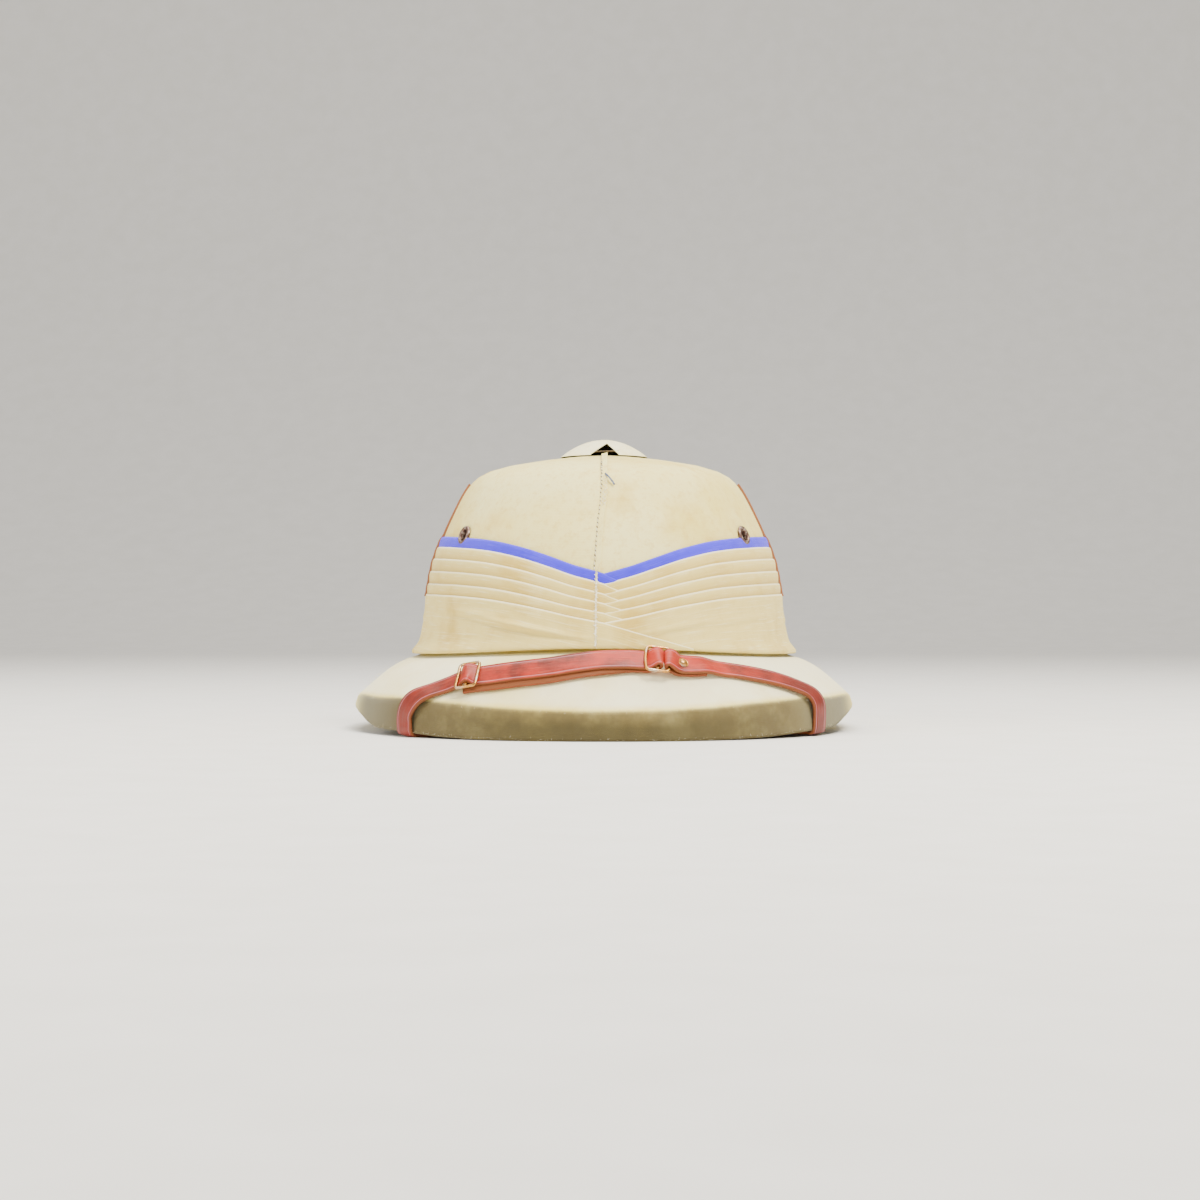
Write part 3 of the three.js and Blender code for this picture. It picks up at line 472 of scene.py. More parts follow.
def drillFinish(values, name="drillCloth", isShell=True):
    finish = Finish(name)
    _, around, down = finish.lay()
    spot = finish.place()
    cloud = finish.noise(spot, 14.0, 4.0, 0.6)
    stain = finish.noise(spot, 23.0, 5.0, 0.65)
    fine = finish.noise(spot, 260.0, 4.0, 0.75)
    colour = finish.blend(finish.between(cloud, 0.35, 0.68), values["base"], values["pale"])
    colour = finish.blend(finish.between(stain, 0.52, 0.74, 0.0, 0.55), colour, values["yellow"])
    colour = finish.blend(finish.between(fine, 0.46, 0.72, 0.0, 0.38), colour, values["yellow"])
    if isShell:
        colour = shellSoilAndShade(finish, colour, values, around, down, spot, cloud)
    else:
        # painted shade inside the cap's hollow
        colour = finish.blend(finish.between(down, *marks["capInside"]) * marks["hollowShade"], colour, values["olive"])
    pitch = 2 * math.pi / values["threadGap"]
    twill = ((around + down * 0.55) * pitch).sine() * 0.5 + 0.5
    weft = (down * (pitch * 0.8)).sine() * 0.25
    weave = finish.bump((twill + weft) * finish.between(fine, 0.2, 0.6, 0.6, 1.0), 0.00016, 0.55)
    normal = finish.bump(cloud + fine * 0.35, 0.0012, 0.35, weave)
    rough = finish.between(fine, 0.3, 0.7, values["roughness"] - 0.06, values["roughness"] + 0.05)
    return finish.done(Base_Color=colour, Roughness=rough, Normal=normal, Sheen_Roughness=0.6, **clothGloss)


# The warm and line tones also paint the shade deep in each pleat, and the pale tone a highlight along each fold's top
# edge.
wrapLook = {
    "base": tone(235, 213, 128), "warm": tone(214, 180, 86), "pale": tone(250, 240, 196), "line": tone(150, 114, 50),
    "threadGap": 0.42, "roughness": 0.9,
}


def wrapFinish(values, name="wrapCloth", dyed=None, pleated=True):
    finish = Finish(name)
    uv, along, down = finish.lay()
    spot = finish.place()
    slub = finish.noise(finish.node("ShaderNodeMapping", {}, {"Vector": uv, "Scale": (0.05, 0.9, 1.0)}), 1.0, 3.0, 0.6)
    cloud = finish.noise(spot, 26.0, 4.0, 0.6)
    fine = finish.noise(spot, 160.0, 3.0, 0.7)
    first, second, third = (values["base"], values["warm"], values["pale"]) if dyed is None else dyed
    colour = finish.blend(finish.between(cloud, 0.42, 0.72), first, second)
    colour = finish.blend(finish.between(slub, 0.5, 0.75, 0.0, 0.5), colour, third)
    colour = finish.blend(finish.between(fine, 0.52, 0.8, 0.0, 0.25), colour, second)
    if pleated:
        # painted shade: deeper in the pleat the cloth is darker; the inner face's second coordinate starts at 40
        outer = finish.between(down, 14.0, 11.0)
        colour = finish.blend(finish.between(down, 1.6, 5.6) * outer * 0.5, colour, values["warm"])
        colour = finish.blend(finish.between(down, 4.6, 7.6) * outer * 0.45, colour, values["line"])
    # painted highlight along the top edge of each fold, of the band and of the violet fold
    edge = finish.between(down, 1.25, 0.55)
    colour = finish.blend(edge * (0.9 if dyed is None else 0.25), colour, third)
    pitch = 2 * math.pi / values["threadGap"]
    plain = (along * pitch).sine() * (down * pitch).sine() * 0.5 + 0.5
    weave = finish.bump(plain, 0.0001, 0.5)
    normal = finish.bump(slub * 0.6 + cloud * 0.8 + fine * 0.3, 0.0011, 0.35, weave)
    rough = finish.between(fine, 0.3, 0.7, values["roughness"] - 0.06, values["roughness"] + 0.06)
    return finish.done(Base_Color=colour, Roughness=rough, Normal=normal, Sheen_Roughness=0.5, **clothGloss)


violetLook = [tone(70, 46, 240), tone(58, 36, 222), tone(98, 82, 250)]

# The crease tone is a painted highlight along the line near each edge, and the dark tone is also painted as shade
# towards the strap's ends.
leatherLook = {
    "base": tone(176, 44, 24), "dark": tone(100, 30, 18), "worn": tone(202, 84, 58), "edge": tone(120, 64, 28),
    "crease": tone(212, 146, 154), "halfWidth": 6.2, "creaseIn": 1.5, "roughness": 0.42,
    "shadeFrom": (0.05, 0.12), "shadeEnds": 0.75,
}


def leatherFinish(values, name="strapLeather"):
    finish = Finish(name)
    uv, _, across = finish.lay()
    spot = finish.place()
    cloud = finish.noise(spot, 60.0, 4.0, 0.62)
    grain = finish.noise(spot, 900.0, 3.0, 0.6)
    along = finish.node("ShaderNodeMapping", {}, {"Vector": uv, "Scale": (0.06, 0.7, 1.0)})
    scuff = finish.noise(along, 1.0, 4.0, 0.65)
    colour = finish.blend(finish.between(cloud, 0.35, 0.7), values["base"], values["dark"])
    colour = finish.blend(finish.between(scuff, 0.5, 0.74, 0.0, 0.6), colour, values["worn"])
    # painted shade: the strap darkens towards both ends, by its distance from the middle
    ends = finish.between(finish.apart(spot)[0].size(), *values["shadeFrom"])
    colour = finish.blend(ends * values["shadeEnds"], colour, values["dark"])
    # painted highlight: a lighter line along the crease near each edge
    fromEdge = values["halfWidth"] - across.size()
    line = finish.between((fromEdge - values["creaseIn"]).size(), 0.06, 0.3, 1.0, 0.0)
    colour = finish.blend(line * finish.between(cloud, 0.25, 0.6, 0.4, 0.85), colour, values["crease"])
    rawEdge = finish.between(fromEdge, 0.55, 0.15)
    colour = finish.blend(rawEdge, colour, values["edge"])
    cells = finish.node("ShaderNodeTexVoronoi", {"feature": "F1"}, {"Vector": spot, "Scale": 1500.0})
    normal = finish.bump(cells * 0.6 + grain * 0.5, 0.00012, 0.5)
    normal = finish.bump(scuff + cloud * 0.7, 0.0006, 0.4, normal)
    rough = finish.between(scuff, 0.35, 0.7, values["roughness"] - 0.08, values["roughness"] + 0.16) + rawEdge * 0.25
    return finish.done(Base_Color=colour, Roughness=rough, Normal=normal, Specular_IOR_Level=0.38)


metalLook = {"brass": tone(188, 136, 70), "plate": tone(190, 178, 160), "tarnish": tone(96, 62, 30), "roughness": 0.26}


def metalFinish(values, name="strapMetal"):
    finish = Finish(name)
    spot = finish.place()
    wear = finish.noise(spot, 420.0, 4.0, 0.6)
    patch = finish.noise(spot, 140.0, 3.0, 0.55)
    colour = finish.blend(finish.between(patch, 0.5, 0.66), values["brass"], values["plate"])
    colour = finish.blend(finish.between(wear, 0.56, 0.76, 0.0, 0.7), colour, values["tarnish"])
    rough = finish.between(wear, 0.35, 0.75, values["roughness"], values["roughness"] + 0.3)
    normal = finish.bump(wear, 0.00008, 0.5)
    return finish.done(Base_Color=colour, Roughness=rough, Normal=normal, Metallic=1.0)


bronzeLook = {"base": tone(118, 92, 82), "rub": tone(186, 170, 156), "roughness": 0.34}


def bronzeFinish(values, name="bronzeEyelet"):
    finish = Finish(name)
    spot = finish.place()
    wear = finish.noise(spot, 500.0, 4.0, 0.6)
    colour = finish.blend(finish.between(wear, 0.48, 0.7), values["base"], values["rub"])
    rough = finish.between(wear, 0.3, 0.7, values["roughness"], values["roughness"] + 0.25)
    return finish.done(Base_Color=colour, Roughness=rough, Normal=finish.bump(wear, 0.0001, 0.4), Metallic=0.9)


# The dark thread also colours the beads painted as shade in the needle holes.
threadLook = {
    "pale": [tone(250, 245, 222), tone(222, 206, 154)], "grey": [tone(70, 82, 120), tone(112, 124, 150)],
    "dark": [tone(70, 58, 44), tone(112, 94, 66)],
}


def threadFinish(name, first, second):
    finish = Finish(name)
    spot = finish.place()
    twist = finish.noise(spot, 700.0, 2.0, 0.5)
    colour = finish.blend(finish.between(twist, 0.4, 0.65), first, second)
    return finish.done(Base_Color=colour, Roughness=finish.between(twist, 0.3, 0.7, 0.8, 0.95),
                       Normal=finish.bump(twist, 0.0001, 0.6))


stripLook = dict(leatherLook, base=tone(180, 100, 56), dark=tone(140, 72, 40), worn=tone(206, 140, 96),
                 edge=tone(140, 86, 50), crease=tone(206, 146, 100), halfWidth=4.0, creaseIn=0.8, shadeEnds=0.0)

drillCloth = drillFinish(drillLook)
capLook = dict(drillLook, base=tone(246, 234, 170), pale=tone(252, 245, 206), yellow=tone(234, 212, 130))
capCloth = drillFinish(capLook, "capCloth", isShell=False)
seamCloth = drillFinish(drillLook, "seamCloth", isShell=False)
wrapCloth = wrapFinish(wrapLook)
bandCloth = wrapFinish(wrapLook, "bandCloth", pleated=False)
violetCloth = wrapFinish(wrapLook, "violetCloth", violetLook, pleated=False)
strapLeather = leatherFinish(leatherLook)
stripLeather = leatherFinish(stripLook, "stripLeather")
strapMetal = metalFinish(metalLook)
bronzeEyelet = bronzeFinish(bronzeLook)
paleThread, greyThread, darkThread = (threadFinish(name + "Thread", *pair) for name, pair in threadLook.items())
print("finishes made")


def dress(piece, material, slot, *nodes):
    piece.data.materials.clear()
    piece.data.materials.append(material)
    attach(piece, "root")
    if nodes:
        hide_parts(*nodes)
    return piece


# Shell: cork under drill, one closed wall from the vent round the rim and up inside
shellCloth = {"rounds": 300, "crownRows": 46, "brimRows": 26, "lipRows": 10, "soften": 3, "uneven": 0.35,
              "innerRows": 34, "radius": 110, "lowest": 0.05}
turns = np.linspace(-math.pi, math.pi, shellCloth["rounds"], endpoint=False)


def makeShell(values):
    turn = turns[:, None]
    top = crown["section"][0][0] * crown["rise"]
    shares = np.linspace(0, 1, values["crownRows"]) ** 0.9
    heights = top + (jointLift(turn) - top) * shares[None, :]
    crownRows = crownPoint(turn, heights)
    lipStart = 1 - brim["lipShare"]
    outs = np.linspace(0, lipStart, values["brimRows"])[1:]
    brimRows = brimPoint(turn, outs[None, :])
    lips = np.linspace(lipStart, 1, values["lipRows"])[1:]
    lipRows = brimPoint(turn, lips[None, :])
    outside = np.concatenate([crownRows, brimRows, lipRows], 1)
    for _ in range(values["soften"]):
        outside[:, 1:-1] = (outside[:, :-2] + 2 * outside[:, 1:-1] + outside[:, 2:]) / 4
    down = np.concatenate([shares * 100, 100 + 100 * outs / lipStart, 200 + 15 * (lips - lipStart) / brim["lipShare"]])
    across = np.roll(outside, -1, 0) - np.roll(outside, 1, 0)
    step = np.gradient(outside, axis=1)
    faces = unit(-np.cross(across, step))
    wave = ripple(outside[..., 0] / 16, (outside[..., 1] + 1.7 * outside[..., 2]) / 19, 4)
    wave = wave + 0.5 * ripple(outside[..., 0] / 5, (outside[..., 1] + outside[..., 2]) / 6, 9)
    fray = ripple(outside[..., 0] / 2.2, outside[..., 1] / 2.4, 11, 9) * smoothstep(190, 206, down)[None, :]
    quiet = smoothstep(0, 8, down) * (1 - 0.8 * smoothstep(86, 97, down) * smoothstep(106, 100, down))
    outside = outside + faces * (values["uneven"] * (wave * quiet + 0.7 * fray))[..., None]
    low = outside[:, -1:]
    inward = stack(-np.sin(turn), np.cos(turn), 0.0)
    rise = np.array([[[0, 0, 1.0]]])
    bend = [low + inward * (crown["wall"] * share) + rise * lift
            for share, lift in ((0.25, 0.0), (0.75, 0.0), (1.1, 0.8))]
    pick = np.linspace(outside.shape[1] - 5, 3, values["innerRows"]).astype(int)
    inside = outside[:, pick] - faces[:, pick] * crown["wall"]
    mouth = outside[:, :1] - rise * crown["wall"]
    grid = np.concatenate([outside, *bend, inside, mouth], 1)
    grid[..., 2] = np.maximum(grid[..., 2], values["lowest"])
    v = np.concatenate([down, [217, 221, 226], 230 + (200 - down[pick]), [440, 450]])
    u = np.linspace(-math.pi, math.pi, values["rounds"] + 1) * values["radius"]
    return gridPiece("shellCloth", grid, u, v, roundRows=True)


def roundCutter(place, face, radius, depth):
    profile = [(0.001, -depth), (radius, -depth), (radius, depth), (0.001, depth)]
    cutter = lathePiece("cutter", profile, place, face, 32)
    weld(cutter, 1e-5)
    return cutter


eyelet = {"turn": 56, "height": 67.4, "radius": 5.6, "hole": 3.5, "barrel": 3.9, "depth": 4.8, "lift": 0.6,
          "flange": 1.3}
eyeletSeats = []
for sideSign in (-1, 1):
    turn = np.array(sideSign * eyelet["turn"] * degree)
    eyeletSeats.append((crownPoint(turn, eyelet["height"]), crownFace(turn, eyelet["height"])))

shell = makeShell(shellCloth)
carve(shell, [roundCutter(place, face, eyelet["barrel"] + 0.2, 14) for place, face in eyeletSeats])
dress(shell, drillCloth, "drill_cloth", "helmet_shell")
print("shell made")

# Puggaree: each fold is one strip that starts left of the V, goes round by the right and crosses over its own start
wrap = {
    "top": 68, "thickness": 4.6, "dip": 22.6, "ply": 0.32, "overlap": 6.2, "bandOverlap": 26, "start": -6,
    "rounds": 360, "tuck": 3.2, "relief": 1.5, "footFlare": 2.2, "footDrop": 1.3, "crossing": 1.6, "skin": 0.5,
    "hem": 0.25, "hemDrop": 0.35, "perDegree": 1.8,
    "dipShare": [(0, 1), (5, 0.89), (10, 0.78), (18, 0.57), (26, 0.39), (36, 0.225), (46, 0.13), (58, 0.07), (74, 0.02),
                 (90, 0)],  # degrees from the front, share
    "folds": [("topFold", 1, 1, 0.26), ("foldOne", 0.913, 0.98, 0.39), ("foldTwo", 0.813, 0.915, 0.52),
              ("foldThree", 0.71, 0.83, 0.65), ("foldFour", 0.606, 0.76, 0.78),
              ("band", 0.516, 0.735, 1)],  # name, then shares of top, dip and thickness
    "depths": [0, 0.3, 0.8, 1.6, 2.8, 4.2, 5.6, 7.0, 8.4, 10],
    "foldPuff": [(0, -0.42), (0.3, -0.12), (0.8, 0.04), (1.8, 0.16), (3.2, 0.16), (5, 0.06), (7, -0.06), (9, -0.16),
                 (12, -0.3)],  # depth under the edge, height of the cloth
    "bandPuff": [(0, -0.42), (0.3, -0.1), (0.8, 0.04), (2.5, 0.1), (40, 0.0)],
}
creases = {  # of the wide band: arc from the front, height, lean, length and rise
    "rows": [(-45, 16.2, -0.2, 27, 2.1), (-78, 24, -0.1, 22, 0.8), (40, 16, 0.2, 20, 0.7), (84, 20, 0.1, 26, 0.6),
             (150, 20, 0.15, 50, 0.4), (-170, 24, -0.12, 60, 0.4)],
    "ridge": 1.6, "trough": 1.3, "drop": 2.7, "troughShare": 0.6, "perDegree": 1.75, "uneven": 0.25,
}
dipSamples = splineThrough(wrap["dipShare"], 300)
bandIndex = len(wrap["folds"]) - 1


def dipShare(route):
    fromFront = np.where(route <= 180, route, 360 - route)  # degrees, below zero past the V on either side
    nearFront = (1 - wrap["dipShare"][1][1]) / wrap["dipShare"][1][0]
    share = np.interp(fromFront, dipSamples[:, 0], dipSamples[:, 1])
    return np.where(fromFront < 0, 1 - wrap["crossing"] * nearFront * fromFront, share)


def foldTop(index, route):
    _, top, dip, _ = wrap["folds"][index]
    return top * wrap["top"] - dip * wrap["dip"] * dipShare(route)


def sway(turn, height):
    return 0.28 * ripple(turn * 7, np.asarray(height) / 14, 21) + 0.14 * ripple(turn * 31, np.asarray(height) / 9, 22)


def swell(turn, height):
    return 0.16 * ripple(turn * 9, np.asarray(height) / 11, 31) + 0.07 * ripple(turn * 38, np.asarray(height) / 5, 32)


def foldOffset(index, route):
    return wrap["folds"][index][3] * wrap["thickness"] + wrap["ply"] * smoothstep(230, 330, route)


def creaseBand(puff, route, height, foot, beside):
    # soft creases: where the wrap was drawn tight they fall from the left towards the front
    arc = np.where(route > 180, route - 360, route)[:, None] * creases["perDegree"]
    for x, h, lean, length, rise in creases["rows"]:
        across = (height - h) - lean * (arc - x)
        reach = np.exp(-((arc - x) / length) ** 2)
        puff = puff + rise * reach * np.exp(-(across / creases["ridge"]) ** 2)
        trough = np.exp(-((across + creases["drop"]) / creases["trough"]) ** 2)
        puff = puff - creases["troughShare"] * rise * reach * trough
    puff = puff + creases["uneven"] * ripple(arc / 21, height / 7, 51)
    overFoot = height - foot[:, None]
    puff = puff - 0.45 * smoothstep(1.4, 0.0, overFoot)
    return puff + wrap["footFlare"] * smoothstep(8.0, 0.0, overFoot) * beside[:, None]


def foldPiece(index):
    isBand = index == bandIndex
    overlap = wrap["bandOverlap"] if isBand else wrap["overlap"]
    route = np.linspace(wrap["start"], 360 + overlap, wrap["rounds"])
    turn = ((route + 180) % 360 - 180) * degree
    top = foldTop(index, route) + sway(turn, foldTop(index, route))
    offset = foldOffset(index, route)
    beside = np.sin(turn) ** 2
    if isBand:
        foot = jointLift(turn) + 0.15 - wrap["footDrop"] * beside
        width = np.maximum(top - foot, 0.9)
        top = foot + width
        depth = width[:, None] * np.concatenate([[0], np.linspace(0.035, 1, 26)])[None, :]
        height = top[:, None] - depth
        puff = creaseBand(np.interp(depth, *zip(*wrap["bandPuff"])), route, height, foot, beside)
    else:
        once = np.clip(route, 0, 360)
        above = foldTop(index, once) + sway(turn, foldTop(index, route))
        below = foldTop(index + 1, once) + sway(turn, foldTop(index + 1, route))
        width = np.maximum(above - below, 3) + wrap["tuck"]
        steps = np.array(wrap["depths"])
        depth = steps[None, :] / steps[-1] * width[:, None]
        depth[:, :5] = np.minimum(steps[None, :5], depth[:, :5] * 3)
        depth = np.maximum.accumulate(depth, 1)
        height = top[:, None] - depth
        puff = np.interp(depth, *zip(*wrap["foldPuff"])) * wrap["relief"]
    lift = swell(turn[:, None], height)
    outside = overCrown(turn[:, None], height, offset[:, None] + puff + lift)
    inner = overCrown(turn[:, None], height, offset[:, None] + puff + lift - wrap["skin"])
    hem = wrap["foldPuff"][0][1] - wrap["hemDrop"]
    inner[:, 0] = overCrown(turn, top - wrap["hem"], offset + hem + lift[:, 0])
    grid = np.concatenate([outside, inner[:, ::-1]], 1)
    v = np.concatenate([depth, depth[:, ::-1] + 40, depth[:, :1] + 41], 1)
    u = np.broadcast_to(route[:, None] * wrap["perDegree"], v.shape)
    piece = gridPiece(wrap["folds"][index][0], grid, u, v, capEnds=True)
    length = float(np.linalg.norm(np.diff(outside[:, 0], axis=0), axis=1).sum()) / 1000
    return piece, length, float(depth[:, -1].max()) / 1000


foldNodes = ["puggaree_top_fold", *(f"puggaree_fold_{count}" for count in range(1, bandIndex)), "puggaree_band"]
for index, node in enumerate(foldNodes):
    piece, length, width = foldPiece(index)
    if index == 0:
        carve(piece, [roundCutter(place, face, eyelet["barrel"] + 0.15, 8) for place, face in eyeletSeats])
        dress(piece, violetCloth, "violet_cloth", node)
    else:
        dress(piece, bandCloth if index == bandIndex else wrapCloth, "wrap_cloth", node)
print("puggaree made")


def wrapOffset(turnDegrees, height):
    best = 0.0
    for index in range(bandIndex + 1):
        routes = [turnDegrees if turnDegrees >= wrap["start"] else turnDegrees + 360]
        overlap = wrap["bandOverlap"] if index == bandIndex else wrap["overlap"]
        if turnDegrees < 0:
            routes.append(turnDegrees + 360)
        if 0 <= turnDegrees <= overlap:
            routes.append(turnDegrees + 360)
        for route in routes:
            if height <= float(foldTop(index, np.array(route, float))):
                best = max(best, float(foldOffset(index, np.array(route, float))))
    return best


# Vent cap: a cloth-covered dome with a three-cornered window in front
ventCap = {
    "radius": 25.5, "rise": 10.4, "wall": 2.0, "fullness": 0.95, "squareness": 2, "rounds": 120, "sink": 0.3,
    "shares": [1, 0.985, 0.955, 0.91, 0.85, 0.77, 0.67, 0.55, 0.42, 0.28, 0.14, 0.02],
    "window": [(-7.6, -3.0), (8.4, -3.0), (8.4, 0.5), (1.7, 7.3), (-7.6, 0.5)], "windowFront": 29.5, "windowBack": 9,
}


def capFoot(radius, turn):
    reach = np.hypot(radius * np.sin(turn) / crown["halfWidth"], radius * np.cos(turn) / crown["halfLength"])
    return brim["height"] + crown["rise"] * crownRiseAt(reach) - ventCap["sink"]


def makeCap(values):
    angles = np.linspace(-math.pi, math.pi, values["rounds"], endpoint=False)[:, None]
    shares = np.array(values["shares"])[None, :]
    base = capFoot(values["radius"], angles)

    def dome(radius, scale, rise):
        return rise * (1 - np.minimum(1, radius / scale) ** values["squareness"]) ** values["fullness"]

    def at(radius, z):
        return stack(radius * np.sin(angles), centreY - radius * np.cos(angles), z)

    outer = shares * values["radius"]
    wave = 0.22 * ripple(angles * 6, shares * 9, 61) * (1 - shares * 0.4)
    outside = at(outer, base + dome(outer, values["radius"], values["rise"]) + wave * (shares < 0.99))
    innerRadius = values["radius"] - values["wall"]
    inner = shares * innerRadius
    ceiling = base + dome(inner, innerRadius, values["rise"] - values["wall"])
    inside = at(inner, np.maximum(ceiling, capFoot(inner, angles)))
    grid = np.concatenate([outside, inside[:, ::-1]], 1)
    u = np.linspace(0, 2 * math.pi * values["radius"], values["rounds"] + 1)
    v = np.concatenate([(1 - shares[0]) * 30, 40 + shares[0] * 30, [71]])
    piece = gridPiece("ventCap", grid, u, v, roundRows=True)
    mesh = bmesh.new()
    mesh.from_mesh(piece.data)
    count = shares.size
    for column in (count - 1, count):  # the innermost rings of the outer and the inner face, each closed by a fan
        mesh.verts.ensure_lookup_table()
        ring = [mesh.verts[row * 2 * count + column] for row in range(values["rounds"])]
        hub = mesh.verts.new(sum((vert.co for vert in ring), Vector()) / len(ring))
        for a, b in zip(ring, ring[1:] + ring[:1]):
            mesh.faces.new((a, b, hub))
    seamed = {count - 1, count}
    bridge = [face for face in mesh.faces if {vert.index % (2 * count) for vert in face.verts} == seamed]
    bmesh.ops.delete(mesh, geom=bridge, context="FACES_ONLY")
    bmesh.ops.recalc_face_normals(mesh, faces=mesh.faces)
    for face in mesh.faces:
        face.smooth = True
    mesh.to_mesh(piece.data)
    mesh.free()
    return piece


def windowCutter(values):
    baseZ = float(capFoot(values["radius"], np.array(0.0)))
    outline = [(x, baseZ + z) for x, z in values["window"]]
    reaches = values["windowFront"], values["windowBack"]
    near, far = ([(x, centreY - reach, z) for x, z in outline] for reach in reaches)
    count = len(outline)
    faces = [list(range(count)), list(range(count, 2 * count))[::-1]]
    faces += [[k, k + count, (k + 1) % count + count, (k + 1) % count] for k in range(count)]
    cutter = linkMesh("window", near + far, faces, smooth=False)
    weld(cutter)
    return cutter


cap = makeCap(ventCap)
carve(cap, [windowCutter(ventCap)])
dress(cap, capCloth, "drill_cloth", "vent_cap")
ventBar = {"radius": 0.42, "left": -7.5, "right": 8.5, "forward": 21.5, "height": 2.3, "bow": 0.02, "slope": 0.03}
capBase = float(capFoot(ventCap["radius"], np.array(0.0)))
barY, barZ = centreY - ventBar["forward"], capBase + ventBar["height"]
barPath = [(x, barY + ventBar["bow"] * x * x, barZ + ventBar["slope"] * x)
           for x in np.linspace(ventBar["left"], ventBar["right"], 12)]
dress(tubePiece("capBar", barPath, ventBar["radius"], 8), darkThread, "drill_cloth")
print("vent cap made")

# Eyelets
for (place, face), name, node in zip(eyeletSeats, ("eyeletLeft", "eyeletRight"), ("eyelet_left", "eyelet_right")):
    foot = eyelet["lift"]
    high = foot + eyelet["flange"]
    hole, barrel, radius, depth = (eyelet[key] for key in ("hole", "barrel", "radius", "depth"))
    profile = [(hole, -depth), (barrel, -depth), (barrel, foot), (radius, foot), (radius + 0.05, foot + 0.35),
               (radius - 0.35, high - 0.25), (radius - 0.95, high), (hole + 0.85, high), (hole + 0.25, high - 0.3),
               (hole, high - 0.9)]
    dress(lathePiece(name, profile, place, face, 56, 50), bronzeEyelet, "bronze_eyelet", node)
print("eyelets made")

# Front seam: a pressed welt that wanders a little on its way down to the V
seam = {
    "edge": [(89.3, -2.0), (100.1, -1.3), (107.7, -0.75), (117.5, 0), (125.3, 1.1), (135.6, 1.9), (160, 2.0)],  # z, x
    "width": 3.4, "rows": 90, "wander": 0.18, "bumpy": 0.22, "lowest": -0.15,
    "section": [(0, 0.0), (0.06, 0.12), (0.3, 0.26), (0.62, 0.5), (0.88, 0.85), (0.97, 0.75), (1.0, 0.45),
                (0.98, -0.15), (0.6, -0.15), (0.2, -0.15)],  # share of the width, rise
}


def seamHeights():
    low = float(foldTop(0, np.array(0.0))) + 0.2
    high = float(crown["rise"] * crownRiseAt((ventCap["radius"] + 0.8) / crown["halfLength"]))
    heights = np.linspace(low, high, 400)
    points = crownPoint(0.0, heights)
    run = runAlong(points)
    return np.interp(np.linspace(0, run[-1], seam["rows"]), run, heights), run[-1]


def besideFront(heights, x, offset):
    reach = crownReach(heights / crown["rise"]) * crown["halfWidth"]
    turn = np.arcsin(np.clip(x / reach, -0.9, 0.9))
    return overCrown(turn, heights, offset)


def makeSeam(values):
    heights, length = seamHeights()
    z, x = np.array(values["edge"]).T
    edge = np.interp(heights + brim["height"], z, x) + values["wander"] * ripple(heights / 4, 0.0, 71)
    columns = []
    for share, rise in values["section"]:
        bumpy = 1 + values["bumpy"] * ripple(heights / 2.4, share * 3, 72)
        across = edge - values["width"] * (1 - share)
        columns.append(besideFront(heights, across, np.maximum(rise * bumpy, values["lowest"])))
    v = [0, 0.3, 1.0, 2.1, 3.0, 3.3, 3.6, 4.0, 5.0, 6.5, 7.5]
    return gridPiece("frontSeam", np.stack(columns, 1), np.linspace(0, length, values["rows"]), v, capEnds=True)


dress(makeSeam(seam), seamCloth, "drill_cloth", "front_seam")
print("front seam made")

# Side strips of leather
strip = {"width": 8, "thickness": 1.3, "top": 99, "tuck": 1.5, "rows": 60, "turn": 90}


def makeStrip(name, sideSign):
    bottom = wrap["folds"][-1][1] * wrap["top"] - strip["tuck"]
    heights = np.linspace(strip["top"], bottom, strip["rows"])
    turn = sideSign * strip["turn"]
    cover = np.array([wrapOffset(float(turn), h) for h in heights + 0.4])
    cover = np.convolve(np.pad(cover, 2, "edge"), np.array([1, 2, 3, 2, 1]) / 9, "valid")
    turns = np.full_like(heights, turn * degree)
    middle = overCrown(turns, heights, cover + 0.3)
    face = crownFace(turns, heights)
    along = unit(np.gradient(middle, axis=0))
    side = unit(np.cross(face, along))
    half, thick = strip["width"] / 2, strip["thickness"]
    rightHalf = [(half - 1.5, thick), (half - 1.1, thick - 0.18), (half - 0.8, thick), (half - 0.35, thick * 0.95),
                 (half, thick * 0.6), (half, 0)]
    ring = [(-s, f) for s, f in rightHalf[::-1]] + rightHalf
    grid = np.stack([middle + side * s + face * (f - 0.2) for s, f in ring], 1)
    run = runAlong(middle)
    v = [s for s, f in ring] + [-half]
    return gridPiece(name, grid, run, v, capEnds=True, sharpAngle=50)


for name, sideSign, node in (("stripLeft", -1, "side_strip_left"), ("stripRight", 1, "side_strip_right")):
    dress(makeStrip(name, sideSign), stripLeather, "strip_leather", node)
print("side strips made")

